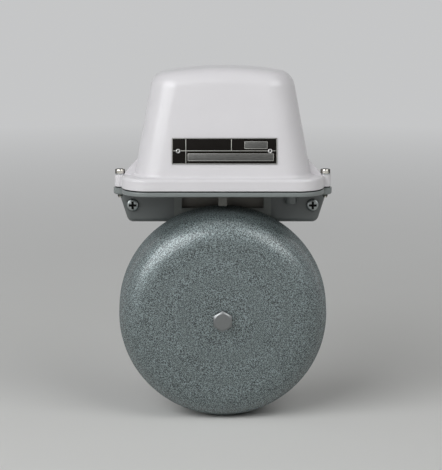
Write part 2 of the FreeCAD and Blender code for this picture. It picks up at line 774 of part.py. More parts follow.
def make_gong_mounting():
    body = new_body("gong_bracket")
    sketch = sketch_on(body, "front", "apron_front")
    outline(sketch, [
        ("-bracket_foot_half_width", "gong_z - bracket_foot_drop"),
        ("bracket_foot_half_width", "gong_z - bracket_foot_drop"),
        ("bracket_foot_half_width", "gong_z + bracket_foot_rise"),
        ("bracket_half_width", "base_top - bracket_straight_drop"),
        ("bracket_half_width", "base_under"), ("-bracket_half_width", "base_under"),
        ("-bracket_half_width", "base_top - bracket_straight_drop"),
        ("-bracket_foot_half_width", "gong_z + bracket_foot_rise"),
    ])
    outline(sketch, rectangle("-window_half_width", "window_half_width", "sill_z", "lintel_z"))
    circle(sketch, 0, "gong_z", "gong_bolt_radius + screw_play")
    for side in ("-1", "1"):
        circle(sketch, f"{side} * apron_screw_x", "apron_screw_z", "small_screw_radius + thread_play")
    pad(body, sketch, "bracket_thickness")
    foot = number("gong_z - bracket_foot_drop")
    round_edges(body, "bracket_foot_half_width * 0.7", lambda e: close(e.BoundBox.ZMax, foot)
                and e.BoundBox.YLength > 1 and e.BoundBox.XLength < 0.01)
    sketch = sketch_on(body, "top", "base_under")
    outline(sketch, rectangle("-bracket_half_width", "bracket_half_width",
                              "-apron_front - bracket_shelf_depth", "-apron_front"))
    for side in ("-1", "1"):
        circle(sketch, f"{side} * bracket_screw_x", "-bracket_screw_y", "medium_screw_radius + thread_play")
    pad(body, sketch, "bracket_thickness", back=True)
    node(body, "gong_bracket")
    down = screw("bracket_screw", "medium_screw_radius",
                 "frame_thickness + base_flange_thickness + bracket_thickness + 1",
                 "medium_head_radius", "medium_head_height", "cross")
    spots = [(f"{side} * bracket_screw_x", "-bracket_screw_y", "frame_top") for side in ("-1", "1")]
    group("bracket_screws", down, spots, "up")
    through = screw("apron_screw", "small_screw_radius", "apron_front_wall + bracket_thickness + 0.5",
                    "small_head_radius", "small_head_height", "cross")
    spots = [(f"{side} * apron_screw_x", "-apron_front + apron_front_wall", "apron_screw_z") for side in ("-1", "1")]
    group("apron_screws", through, spots, "back")
    bore = "gong_bolt_radius + screw_play"
    length = "gong_rim_gap + gong_depth - gong_wall - gong_washer_thickness - dome_play"
    post = spun("gong_post", [
        (bore, 0), ("gong_post_radius - 0.6", 0), ("gong_post_radius", 0.6),
        ("gong_post_radius", f"{length} - 0.6"), ("gong_post_radius - 0.6", length), (bore, length),
    ])
    stand(post, "gong_post", 0, "-bracket_face", "gong_z", "front")
    washer = ring("gong_washer", bore, "gong_post_radius + 1", "gong_washer_thickness")
    stand(washer, "gong_washer", 0, "-gong_face + gong_wall + gong_washer_thickness + dome_play", "gong_z", "front")
    lock = ring("gong_lock_washer", bore, "lock_washer_radius", "lock_washer_thickness")
    stand(lock, "gong_lock_washer", 0, "-apron_front", "gong_z", "back")
    make_gong_bolt()


def make_gong_bolt():
    grip = "gong_face - apron_front + lock_washer_thickness + gong_nut_height + gong_bolt_tail"
    bolt = spun("gong_bolt", [
        (0, f"-({grip})"), ("gong_bolt_radius - 1", f"-({grip})"), ("gong_bolt_radius", f"-({grip}) + 1"),
        ("gong_bolt_radius", 0), (0, 0),
    ])
    sketch = sketch_on(bolt, "top")
    hexagon(sketch, "gong_bolt_flats")
    pad(bolt, sketch, "gong_bolt_head_height")
    bevel_corners(bolt, "gong_bolt_flats", "gong_bolt_head_height")
    stand(bolt, "gong_bolt", 0, "-gong_face", "gong_z", "front")
    nut = new_body("gong_nut")
    sketch = sketch_on(nut, "top")
    hexagon(sketch, "gong_bolt_flats")
    circle(sketch, 0, 0, "gong_bolt_radius + thread_play")
    pad(nut, sketch, "gong_nut_height")
    bevel_corners(nut, "gong_bolt_flats", "gong_nut_height")
    stand(nut, "gong_nut", 0, "-apron_front + lock_washer_thickness", "gong_z", "back")


# Hood
def hood_form(name, inset, low):
    """The tapered form of the hood's wall, set in by a wall's thickness, from a low level upwards."""
    body = new_body(name)
    sections = []
    drop = f"(ledge_z - ({low}))"
    rise = "(hood_top + 2 - ledge_z)"
    for level_z, run in ((low, f"-{drop}"), ("hood_top + 2", rise)):
        sketch = sketch_on(body, "top", level_z)
        half = f"(hood_foot_half_width - {inset} - {run} * side_tan)"
        front = f"-(hood_foot_front - {inset} - {run} * front_tan)"
        back = f"-(flange_back + {inset} + {run} * back_tan)"
        outline(sketch, bowed(half, front, back, f"(hood_front_corner - {inset})"))
        sections.append(sketch)
    feature(body, "AdditiveLoft", Profile=sections[0], Sections=[sections[1]], Ruled=True)
    doc.recompute()
    crown(body, inset)
    return body


def crown(body, inset):
    """Cut the form's top to a shallow arch along X and round the edge of that arch."""
    sketch = sketch_on(body, "front", "flange_front / 2")
    wide = "hood_foot_half_width"
    top = f"(hood_top - {inset})"
    radius = f"(hood_crown_radius - {inset})"
    shoulder = f"({top} - {radius} + sqrt({radius}^2 - {wide}^2))"
    outline(sketch, [(f"-{wide}", shoulder, radius, -1), (wide, shoulder),
                     (wide, "hood_top + 20"), (f"-{wide}", "hood_top + 20")])
    pocket(body, sketch, "flange_front * 2", middle=True)
    lowest = number(shoulder) + 0.5
    rear = -number(f"flange_back + {inset}") - 4
    round_edges(body, f"hood_top_edge - {inset}", lambda e: e.BoundBox.ZMin > lowest and e.BoundBox.YMin < rear)
    foot = body.Tip.Shape.BoundBox.ZMin + 1
    round_edges(body, "hood_back_edge", lambda e: e.BoundBox.YMin > rear and e.BoundBox.ZMax > foot)


def make_hood():
    form = hood_form("hood_form", "0", "ledge_z - 1")
    cavity = hood_form("hood_cavity", "hood_wall", "hood_bottom - 1")
    flange = new_body("hood_flange")
    sketch = sketch_on(flange, "top", "hood_bottom")
    outline(sketch, rounded("flange_width / 2", "-flange_front", "-flange_back",
                            "flange_front_corner", "flange_back_corner"))
    pad(flange, sketch, "hood_flange_rise")
    top = number("ledge_z")
    round_edges(flange, "hood_flange_edge", lambda e: level(e, top))
    bottom = number("hood_bottom")
    round_edges(flange, "hood_flange_edge * 0.25", lambda e: level(e, bottom))
    sketch = sketch_on(flange, "top", "hood_bottom")
    outline(sketch, lug(1, "ear_root", "ear_offset", "ear_y", "hood_ear_radius"))
    outline(sketch, lug(-1, "ear_root", "ear_offset", "ear_y", "hood_ear_radius"))
    pad(flange, sketch, "hood_flange_rise - hood_ear_drop")
    sketch = sketch_on(flange, "front", "-ear_y")
    high, foot = "ledge_z + gusset_rise", "ledge_z - 1"
    wall = "(hood_foot_half_width - gusset_rise * side_tan)"
    for side in ("1", "-1"):
        corners = [(f"{side} * ({wall} - 2)", foot), (f"{side} * gusset_reach", foot),
                   (f"{side} * gusset_reach", "ear_top"), (f"{side} * {wall}", high),
                   (f"{side} * ({wall} - 2)", high)]
        outline(sketch, corners if side == "1" else corners[::-1])
    pad(flange, sketch, "gusset_thickness", middle=True)
    whole = doc.addObject("Part::MultiFuse", "hood_whole")
    whole.Shapes = [flange, form]
    whole.Refine = True
    holes = [cavity]
    for side in ("-1", "1"):
        bore = doc.addObject("Part::Cylinder", "hood_screw_bore")
        bind(bore, Radius="hood_screw_radius + screw_play", Height="hood_flange_rise + 2")
        place(bore, f"{side} * ear_offset", "ear_y", "hood_bottom - 1")
        seat = doc.addObject("Part::Cylinder", "captive_ring_seat")
        bind(seat, Radius="captive_ring_radius + seat_play", Height="captive_ring_thickness + 1 + seat_play")
        place(seat, f"{side} * ear_offset", "ear_y", "hood_bottom - 1")
        spot = doc.addObject("Part::Cylinder", "washer_seat")
        bind(spot, Radius="hood_washer_radius + seat_play", Height="hood_ear_drop + gusset_rise")
        place(spot, f"{side} * ear_offset", "ear_y", "ear_top")
        holes += [bore, seat, spot]
    for shift in ("-nameplate_width / 2 + nameplate_rivet_left", "nameplate_width / 2 - nameplate_rivet_right"):
        bore = doc.addObject("Part::Cylinder", "nameplate_rivet_bore")
        bind(bore, Radius="nameplate_rivet_radius + thread_play", Height="hood_wall * 2.4")
        place(bore, f"nameplate_x + {shift}", "-nameplate_y + hood_wall * 1.2 * cos(hood_front_lean)",
              "nameplate_z - hood_wall * 1.2 * sin(hood_front_lean)", Vector(1, 0, 0), "90 - hood_front_lean")
        holes.append(bore)
    tools = doc.addObject("Part::MultiFuse", "hood_tools")
    tools.Shapes = holes
    hood = doc.addObject("Part::Cut", "hood_shell")
    hood.Base = whole
    hood.Tool = tools
    hood.Refine = True
    doc.recompute()
    node(hood, "hood")


def make_hood_fittings():
    spots = [(f"{side} * ear_offset", "ear_y", "ear_top") for side in ("-1", "1")]
    washer = ring("hood_washer", "hood_screw_radius + thread_play", "hood_washer_radius", "hood_washer_thickness")
    group("hood_washers", washer, spots, "up")
    bolt = screw("hood_screw", "hood_screw_radius", "hood_screw_length", "hood_screw_head_radius",
                 "hood_screw_head_height", "slot")
    spots = [(f"{side} * ear_offset", "ear_y", "ear_top + hood_washer_thickness") for side in ("-1", "1")]
    group("hood_screws", bolt, spots, "up")
    retainer = ring("captive_ring", "hood_screw_radius + thread_play", "captive_ring_radius",
                    "captive_ring_thickness")
    spots = [(f"{side} * ear_offset", "ear_y", "hood_bottom") for side in ("-1", "1")]
    group("captive_rings", retainer, spots, "up")
    plate = new_body("nameplate")
    sketch = sketch_on(plate, "top")
    outline(sketch, rectangle("-nameplate_width / 2", "nameplate_width / 2",
                              "-nameplate_height / 2", "nameplate_height / 2"))
    shifts = ("-nameplate_width / 2 + nameplate_rivet_left", "nameplate_width / 2 - nameplate_rivet_right")
    for shift in shifts:
        circle(sketch, shift, 0, "nameplate_rivet_radius + thread_play")
    pad(plate, sketch, "nameplate_thickness")
    lean = (Vector(1, 0, 0), "90 - hood_front_lean")
    place(plate, "nameplate_x", "-nameplate_y", "nameplate_z", *lean)
    node(plate, "nameplate")
    rivet = spun("nameplate_rivet", [
        (0, "-hood_wall - nameplate_thickness"), ("nameplate_rivet_radius", "-hood_wall - nameplate_thickness"),
        ("nameplate_rivet_radius", 0), ("nameplate_rivet_head", 0), ("nameplate_rivet_head", "0.3"),
        ("nameplate_rivet_head * 0.6", "0.9"), (0, "0.9"),
    ])
    links = []
    for shift in shifts:
        link = doc.addObject("App::Link", "nameplate_rivet_copy")
        link.LinkedObject = rivet
        place(link, f"nameplate_x + {shift}", "-nameplate_y - nameplate_thickness * cos(hood_front_lean)",
              "nameplate_z + nameplate_thickness * sin(hood_front_lean)", *lean)
        links.append(link)
    pair = doc.addObject("Part::Compound", "nameplate_rivets")
    pair.Links = links
    doc.recompute()
    node(pair, "nameplate_rivets")


# Magnet and its frame
def make_frame():
    body = new_body("mechanism_frame")
    sketch = sketch_on(body, "top", "base_top")
    notch = "slot_half_width + slot_rim_wall + 0.5"
    notch_back = "-hammer_y + striker_width / 2 + slot_play + slot_rim_wall + 0.5"
    outline(sketch, [
        ("-frame_left", "-frame_front"), (f"-({notch})", "-frame_front"), (f"-({notch})", notch_back),
        (notch, notch_back), (notch, "-frame_front"), ("frame_right", "-frame_front"),
        ("frame_right", "-frame_back"), ("-frame_left", "-frame_back"),
    ])
    for side in ("-1", "1"):
        circle(sketch, f"{side} * bracket_screw_x", "-bracket_screw_y", "medium_screw_radius + screw_play")
        circle(sketch, f"{side} * core_leg_offset", "-mechanism_y", "core_screw_radius + screw_play")
    for x, y in small_screw_spots():
        circle(sketch, x, y, "small_screw_radius + screw_play")
    pad(body, sketch, "frame_thickness")
    ends = (-number("frame_left"), number("frame_right"))
    round_edges(body, "frame_thickness * 2.5",
                lambda e: upright(e) and any(close(e.BoundBox.XMin, end) for end in ends))
    sketch = sketch_on(body, "front", "frame_back")
    outline(sketch, rectangle("-frame_upright_half", "frame_upright_half",
                              "base_top", "base_top + frame_upright_rise"))
    for shift in ("-block_screw_offset", "block_screw_offset"):
        circle(sketch, f"-block_x + {shift}", "block_z", "small_screw_radius + thread_play")
    circle(sketch, "earth_x", "earth_z", "medium_screw_radius + thread_play")
    pad(body, sketch, "frame_thickness")
    head = number("base_top + frame_upright_rise")
    round_edges(body, "frame_thickness * 3", lambda e: close(e.BoundBox.ZMin, head) and e.BoundBox.YLength > 1
                and e.BoundBox.XLength < 0.01)
    # countersinks under the magnet
    sketch = sketch_on(body, "top", "base_top")
    for side in ("-1", "1"):
        circle(sketch, f"{side} * core_leg_offset", "-mechanism_y", "core_screw_radius * 1.9")
    pocket(body, sketch, "frame_thickness * 0.7", back=True)
    node(body, "mechanism_frame")


def make_magnet():
    body = new_body("magnet_core")
    sketch = sketch_on(body, "front", "mechanism_y")
    out, inn = "(core_leg_offset + core_leg_width / 2)", "(core_leg_offset - core_leg_width / 2)"
    outline(sketch, [
        (f"-{out}", "frame_top"), (out, "frame_top"), (out, "pole_z"), (inn, "pole_z"),
        (inn, "yoke_top"), (f"-{inn}", "yoke_top"), (f"-{inn}", "pole_z"), (f"-{out}", "pole_z"),
    ])
    pad(body, sketch, "core_stack", middle=True)
    sketch = sketch_on(body, "top", "frame_top")
    for side in ("-1", "1"):
        circle(sketch, f"{side} * core_leg_offset", "-mechanism_y", "core_screw_radius + thread_play")
    pocket(body, sketch, "core_screw_reach + 1", back=True)
    node(body, "magnet_core")
    for side, word in (("-1", "left"), ("1", "right")):
        make_coil(side, word)
    shim = new_body("pole_shim")
    sketch = sketch_on(shim, "top")
    outline(sketch, rectangle("-core_leg_width / 2", "core_leg_width / 2", "-core_stack / 2", "core_stack / 2"))
    pad(shim, sketch, "pole_shim_thickness")
    spots = [(f"{side} * core_leg_offset", "-mechanism_y", "pole_z") for side in ("-1", "1")]
    group("pole_shims", shim, spots, "up")
    bolt = spun("core_screw", [
        (0, "-frame_thickness * 0.7"), ("core_screw_radius * 1.8", "-frame_thickness * 0.7"),
        ("core_screw_radius * 1.8", "-frame_thickness * 0.3"), ("core_screw_radius", 0),
        ("core_screw_radius", "core_screw_reach + frame_thickness * 0.3"),
        (0, "core_screw_reach + frame_thickness * 0.3"),
    ])
    spots = [(f"{side} * core_leg_offset", "-mechanism_y", "base_top + frame_thickness * 0.7")
             for side in ("-1", "1")]
    group("core_screws", bolt, spots, "up")


def make_coil(side, word):
    """A former on one leg of the core, and its taped winding."""
    former = spun("coil_former_" + word, [
        (0, 0), ("former_flange_radius", 0), ("former_flange_radius", "former_flange_thickness"),
        ("former_tube_radius", "former_flange_thickness"),
        ("former_tube_radius", "coil_height - former_flange_thickness"),
        ("former_flange_radius", "coil_height - former_flange_thickness"),
        ("former_flange_radius", "coil_height"), (0, "coil_height"),
    ])
    sketch = sketch_on(former, "top", "coil_height")
    outline(sketch, rectangle("-core_leg_width / 2 - coil_play", "core_leg_width / 2 + coil_play",
                              "-core_stack / 2 - coil_play", "core_stack / 2 + coil_play"))
    pocket(former, sketch, "coil_height + 1")
    foot = "yoke_top + coil_play"
    stand(former, "coil_former_" + word, f"{side} * core_leg_offset", "-mechanism_y", foot, "up")
    inner, outer = "former_tube_radius + seat_play", "coil_radius"
    low = "former_flange_thickness + seat_play"
    high = "coil_height - former_flange_thickness - seat_play"
    winding = spun("coil_winding_" + word, [
        (inner, low), (f"{outer} - 0.5", low), (outer, f"{low} + 0.5"),
        (outer, f"{high} - 0.5"), (f"{outer} - 0.5", high), (inner, high),
    ])
    stand(winding, "coil_winding_" + word, f"{side} * core_leg_offset", "-mechanism_y", foot, "up")


# Fork with the pivot, and the rest stop
def make_pivot():
    body = new_body("pivot_bracket")
    sketch = sketch_on(body, "side", "-pivot_x")
    crest = "pivot_z + fork_crest"
    middle = "-mechanism_y"
    outline(sketch, [
        (f"{middle} - fork_outer", "frame_top"), (f"{middle} + fork_outer", "frame_top"),
        (f"{middle} + fork_outer", crest), (f"{middle} + fork_inner", crest),
        (f"{middle} + fork_inner", "frame_top + small_plate"),
        (f"{middle} - fork_inner", "frame_top + small_plate"), (f"{middle} - fork_inner", crest),
        (f"{middle} - fork_outer", crest),
    ])
    pad(body, sketch, "fork_half_length * 2", middle=True)
    sketch = sketch_on(body, "front", "mechanism_y")
    circle(sketch, "-pivot_x", "pivot_z", "pivot_pin_radius + 0.03")
    pocket(body, sketch, "fork_outer * 2 + 2", middle=True)
    sketch = sketch_on(body, "top", "frame_top + small_plate")
    for x, y in small_screw_spots()[:2]:
        circle(sketch, x, y, "small_screw_radius + screw_play")
    pocket(body, sketch, "small_plate + 1")
    top = number(crest)
    round_edges(body, "fork_half_length * 0.6", lambda e: close(e.BoundBox.ZMax, top) and close(e.BoundBox.ZMin, top)
                and close(e.BoundBox.XLength, 0))
    node(body, "pivot_bracket")
    master = screw("small_screw", "small_screw_radius", "small_plate + frame_thickness + base_flange_thickness",
                   "small_head_radius", "small_head_height", "cross")
    spots = [(x, y, "frame_top + small_plate") for x, y in small_screw_spots()]
    group("pivot_screws", master, spots[:2], "up")
    group("stop_bracket_screws", master, spots[2:], "up")
    half = "(fork_outer + clip_thickness + pin_tail)"
    pin = spun("pivot_pin", [
        (0, f"-{half}"), ("pivot_pin_radius - 0.4", f"-{half}"), ("pivot_pin_radius", f"-{half} + 0.4"),
        ("pivot_pin_radius", f"{half} - 0.4"), ("pivot_pin_radius - 0.4", half), (0, half),
    ])
    stand(pin, "pivot_pin", "-pivot_x", "-mechanism_y", "pivot_z", "front")
    clip = ring("pin_clip", "pivot_pin_radius + thread_play", "clip_radius", "clip_thickness")
    near, far = "-mechanism_y - fork_outer", "-mechanism_y + fork_outer + clip_thickness"
    group("pin_clips", clip, [("-pivot_x", near, "pivot_z"), ("-pivot_x", far, "pivot_z")], "front")


def make_stop():
    body = new_body("stop_bracket")
    sketch = sketch_on(body, "front", "stop_y")
    leg, skin = "stop_leg_x", "small_plate"
    outline(sketch, [
        (f"{leg} - stop_foot_length", "frame_top"), (f"{leg} + {skin}", "frame_top"),
        (f"{leg} + {skin}", f"stop_z + {skin}"), ("stop_screw_x - stop_overhang", f"stop_z + {skin}"),
        ("stop_screw_x - stop_overhang", "stop_z"), (leg, "stop_z"), (leg, f"frame_top + {skin}"),
        (f"{leg} - stop_foot_length", f"frame_top + {skin}"),
    ])
    pad(body, sketch, "stop_width", middle=True)
    sketch = sketch_on(body, "top", "stop_z + small_plate")
    circle(sketch, "stop_screw_x", "-stop_y", "stop_screw_radius + thread_play")
    pocket(body, sketch, "small_plate + 1")
    sketch = sketch_on(body, "top", "frame_top + small_plate")
    for x, y in small_screw_spots()[2:]:
        circle(sketch, x, y, "small_screw_radius + screw_play")
    pocket(body, sketch, "small_plate + 1")
    node(body, "stop_bracket")
    nut = new_body("stop_locknut")
    sketch = sketch_on(nut, "top")
    hexagon(sketch, "stop_nut_flats")
    circle(sketch, 0, 0, "stop_screw_radius + thread_play")
    pad(nut, sketch, "stop_nut_height")
    bevel_corners(nut, "stop_nut_flats", "stop_nut_height")
    stand(nut, "stop_locknut", "stop_screw_x", "-stop_y", "stop_z + small_plate", "up")
    # the tip stands just over the raised armature
    reach = "(stop_screw_x + pivot_x)"
    touch = f"pivot_z + (bar_top + {reach} * sin(swing_angle)) / cos(swing_angle) + seat_play + stop_screw_radius * 0.1"
    length = f"stop_z + small_plate + stop_screw_above - ({touch})"
    adjuster = screw("stop_screw", "stop_screw_radius", length, "medium_head_radius", "medium_head_height", "slot")
    stand(adjuster, "stop_screw", "stop_screw_x", "-stop_y", "stop_z + small_plate + stop_screw_above", "up")


# Hammer: built as it stands on the poles, about its pivot, then swung back to rest
def swing(thing, name, y="-mechanism_y"):
    place(thing, "-pivot_x", y, "pivot_z", Vector(0, -1, 0), "swing_angle")
    return node(thing, name)


def make_hammer():
    body = new_body("armature")
    sketch = sketch_on(body, "front")
    outline(sketch, [
        ("-armature_tail", "-armature_tail"), ("armature_tail", "-armature_tail"), ("armature_tail", "bar_under"),
        ("armature_reach", "bar_under"), ("armature_reach", "bar_top"), ("-armature_tail", "bar_top"),
    ])
    circle(sketch, 0, 0, "bush_radius + thread_play")
    pad(body, sketch, "armature_width", middle=True)
    round_edges(body, "armature_tail * 0.6", lambda e: close(e.BoundBox.ZMin, -number("armature_tail"))
                and close(e.BoundBox.ZMax, -number("armature_tail")) and e.BoundBox.YLength > 1
                and e.BoundBox.XLength < 0.01)
    sketch = sketch_on(body, "top", "bar_top")
    for shift in ("-arm_width / 3", "arm_width / 3"):
        circle(sketch, "hammer_reach", shift, "arm_rivet_radius + thread_play")
    pocket(body, sketch, "armature_thickness + 1")
    swing(body, "armature")
    bush = spun("pivot_bush", [
        ("pivot_pin_radius + 0.04", 0), ("bush_radius", 0), ("bush_radius", "armature_width / 2"),
        ("bush_radius + 0.8", "armature_width / 2"), ("bush_radius + 0.8", "armature_width / 2 + fork_play * 0.6"),
        ("pivot_pin_radius + 0.04", "armature_width / 2 + fork_play * 0.6"),
    ])
    group("pivot_bushes", bush, [("-pivot_x", "-mechanism_y", "pivot_z")], "front")
    other = doc.addObject("App::Link", "pivot_bush_back")
    other.LinkedObject = bush
    axis, angle = FACING["back"]
    place(other, "-pivot_x", "-mechanism_y", "pivot_z", axis, angle)
    NODES[-1].Links = NODES[-1].Links + [other]
    make_arm()


def on_arm(height):
    """Where a point of the upright striker, level with the pivot's distance, lies in the swung frame."""
    along = f"(pivot_x * cos(swing_angle) + ({height}) * sin(swing_angle))"
    across = f"(({height}) * cos(swing_angle) - pivot_x * sin(swing_angle))"
    return along, across


def make_arm():
    body = new_body("hammer_arm")
    skin = "arm_thickness"
    front, inner = "-hammer_gap", f"-hammer_gap + {skin}"
    foot = on_arm("arm_foot")[1]
    sketch = sketch_on(body, "side", "hammer_reach")
    outline(sketch, [
        (front, foot), (inner, foot), (inner, "bar_top"), ("armature_width / 2", "bar_top"),
        ("armature_width / 2", f"bar_top + {skin}"), (front, f"bar_top + {skin}"),
    ])
    pad(body, sketch, "arm_width", middle=True)
    sketch = sketch_on(body, "top", f"bar_top + {skin}")
    for shift in ("-arm_width / 3", "arm_width / 3"):
        circle(sketch, "hammer_reach", shift, "arm_rivet_radius + thread_play")
    pocket(body, sketch, f"{skin} + 1")
    sketch = sketch_on(body, "front", "hammer_gap")
    for height in ("rivet_low", "rivet_high"):
        circle(sketch, *on_arm(height), "arm_rivet_radius + thread_play")
    pocket(body, sketch, f"{skin} + 1")
    corner = number(f"bar_top + {skin}")
    round_edges(body, "arm_thickness * 0.9", lambda e: level(e, corner) and close(e.BoundBox.YMax, number(front)))
    swing(body, "hammer_arm")
    make_striker()
    make_rivets("arm_rivets", "armature_thickness + arm_thickness", f"bar_top + {skin}", "up",
                [("hammer_reach", shift, 0) for shift in ("-arm_width / 3", "arm_width / 3")])
    make_rivets("striker_rivets", f"{skin} + striker_width / 2", "0", "back",
                [(along, f"-hammer_gap + {skin}", across) for along, across in
                 (on_arm("rivet_low"), on_arm("rivet_high"))])


def make_striker():
    """The square striker hangs upright at rest, its upper end halved against the arm."""
    body = new_body("striker")
    thick = "striker_width / 2"
    sketch = sketch_on(body, "side")
    outline(sketch, [
        (f"-{thick}", "striker_foot"), (thick, "striker_foot"), (thick, "arm_foot - seat_play * 2"),
        (0, "arm_foot - seat_play * 2"), (0, "striker_head"), (f"-{thick}", "striker_head"),
    ])
    pad(body, sketch, "striker_width", middle=True)
    foot = number("striker_foot")
    round_edges(body, "striker_width * 0.06", lambda e: level(e, foot))
    sketch = sketch_on(body, "front")
    for height in ("rivet_low", "rivet_high"):
        circle(sketch, 0, height, "arm_rivet_radius + thread_play")
    pocket(body, sketch, f"{thick} + 1", back=True)
    place(body, 0, "-hammer_y", "pivot_z")
    node(body, "striker")


def make_rivets(name, grip, lift, facing, spots):
    """Rivets that ride with the hammer: a group about the pivot that swings as one."""
    rivet = spun(name + "_master", [
        (0, f"-({grip})"), ("arm_rivet_radius", f"-({grip})"), ("arm_rivet_radius", 0),
        ("arm_rivet_radius * 1.7", 0), ("arm_rivet_radius * 1.5", "0.7"), ("arm_rivet_radius * 0.8", "1.1"), (0, "1.1"),
    ])
    links = []
    for x, y, z in spots:
        link = doc.addObject("App::Link", name + "_copy")
        link.LinkedObject = rivet
        axis, angle = FACING[facing]
        place(link, x, y, f"{z} + {lift}", axis, angle)
        links.append(link)
    compound = doc.addObject("Part::Compound", name)
    compound.Links = links
    doc.recompute()
    swing(compound, name)


# Wound and routed wires
def arc_through(start, tangent, end):
    """The arc from start to end that leaves along the tangent."""
    chord = end - start
    along = Vector(chord).normalize()
    across = tangent - along * tangent.dot(along)
    if across.Length < 1e-9:
        return Part.LineSegment(start, end)
    angle = math.acos(max(-1.0, min(1.0, tangent.dot(along))))
    middle = (start + end) * 0.5 + across.normalize() * (chord.Length / 2 * math.tan(angle / 2))
    return Part.Arc(start, middle, end)


def helix_point(radius, pitch, turn):
    angle = 2 * math.pi * turn
    point = Vector(radius * math.cos(angle), radius * math.sin(angle), pitch * turn)
    heading = Vector(-radius * math.sin(angle), radius * math.cos(angle), pitch / (2 * math.pi)).normalize()
    return point, heading


def spring_shape(radius, wire, length, turns):
    """A helical wire whose centre line is one biarc for each quarter turn."""
    pitch = (length - 2 * wire) / turns
    steps = 4 * int(turns)
    edges = []
    for step in range(steps):
        start, leaving = helix_point(radius, pitch, step / 4)
        end, arriving = helix_point(radius, pitch, (step + 1) / 4)
        chord = end - start
        both = leaving + arriving
        spread = 2 * (1 - leaving.dot(arriving))
        size = (-chord.dot(both) + math.sqrt(chord.dot(both) ** 2 + spread * chord.dot(chord))) / spread
        joint = (start + leaving * size + end - arriving * size) * 0.5
        edges.append(arc_through(start, leaving, joint).toShape())
        back = arc_through(end, -arriving, joint)
        back.reverse()
        edges.append(back.toShape())
    path = Part.Wire(edges)
    section = Part.Wire(Part.makeCircle(wire, helix_point(radius, pitch, 0)[0], helix_point(radius, pitch, 0)[1]))
    tube = Part.BRepOffsetAPI.MakePipeShell(path)
    tube.add(section)
    tube.build()
    tube.makeSolid()
    print("spring gap between turns", round(pitch - 2 * wire, 3))
    return tube.shape()


def make_spring():
    reach = number("pivot_x")
    rise = number("(bar_under + pivot_x * sin(swing_angle)) / cos(swing_angle)")
    play = number("seat_play")
    wire = number("spring_wire_radius")
    length = number("pivot_z") + rise - number("yoke_top") - 2 * play - reach * 0.004
    piece = doc.addObject("Part::Feature", "return_spring")
    piece.Shape = spring_shape(number("spring_radius"), wire, length, SIZES["spring_turns"])
    place(piece, 0, "-mechanism_y", f"yoke_top + {play} + {wire}")
    node(piece, "return_spring")


def bent_wire(name, points, radius, bend):
    """A round wire of straight runs joined by tangent arcs of one bend radius."""
    edges = []
    start = points[0]
    for before, corner, after in zip(points, points[1:], points[2:]):
        into = Vector(corner - before).normalize()
        out = Vector(after - corner).normalize()
        half = math.acos(max(-1.0, min(1.0, into.dot(out)))) / 2
        trim = bend * math.tan(half)
        entry, leave = corner - into * trim, corner + out * trim
        edges.append(Part.LineSegment(start, entry).toShape())
        edges.append(arc_through(entry, into, leave).toShape())
        start = leave
    edges.append(Part.LineSegment(start, points[-1]).toShape())
    path = Part.Wire(edges)
    heading = Vector(points[1] - points[0]).normalize()
    section = Part.Wire(Part.makeCircle(radius, points[0], heading))
    tube = Part.BRepOffsetAPI.MakePipeShell(path)
    tube.add(section)
    tube.build()
    tube.makeSolid()
    piece = doc.addObject("Part::Feature", name)
    piece.Shape = tube.shape()
    node(piece, name)


def make_terminals():
    block = new_body("terminal_block")
    sketch = sketch_on(block, "front", "frame_back + frame_thickness")
    half, tall = "block_width / 2", "block_height / 2"
    outline(sketch, rectangle(f"-block_x - {half}", f"-block_x + {half}", f"block_z - {tall}", f"block_z + {tall}"))
    for shift in ("-block_screw_offset", "block_screw_offset"):
        circle(sketch, f"-block_x + {shift}", "block_z", "small_screw_radius + screw_play")
    pad(block, sketch, "block_depth")
    front = -number("frame_back + frame_thickness + block_depth")
    round_edges(block, "block_height * 0.1", lambda e: close(e.BoundBox.YMin, front) and close(e.BoundBox.YMax, front)
                and not isinstance(e.Curve, Part.Circle))
    sketch = sketch_on(block, "front", "frame_back + frame_thickness + block_depth")
    for shift in ("-terminal_pitch / 2", "terminal_pitch / 2"):
        circle(sketch, f"-block_x + {shift}", "block_z", "medium_head_radius + screw_play")
    pocket(block, sketch, "medium_head_height + 1")
    sketch = sketch_on(block, "front", "frame_back + frame_thickness + block_depth")
    for shift in ("-terminal_pitch / 2", "terminal_pitch / 2"):
        circle(sketch, f"-block_x + {shift}", "block_z", "medium_screw_radius + thread_play")
    pocket(block, sketch, "block_depth - 1")
    node(block, "terminal_block")
    clamp = screw("terminal_screw", "medium_screw_radius", "block_depth - medium_head_height - 3",
                  "medium_head_radius", "medium_head_height", "slot")
    spots = [(f"-block_x + {shift}", "-frame_back - frame_thickness - block_depth + medium_head_height + 1", "block_z")
             for shift in ("-terminal_pitch / 2", "terminal_pitch / 2")]
    group("terminal_screws", clamp, spots, "front")
    fixing = screw("block_screw", "small_screw_radius", "block_depth + frame_thickness",
                   "small_head_radius", "small_head_height", "slot")
    spots = [(f"-block_x + {shift}", "-frame_back - frame_thickness - block_depth", "block_z")
             for shift in ("-block_screw_offset", "block_screw_offset")]
    group("block_screws", fixing, spots, "front")
    earth = screw("earth_screw", "medium_screw_radius", "frame_thickness",
                  "medium_head_radius", "medium_head_height", "cross")
    stand(earth, "earth_screw", "earth_x", "-frame_back - frame_thickness", "earth_z", "front")


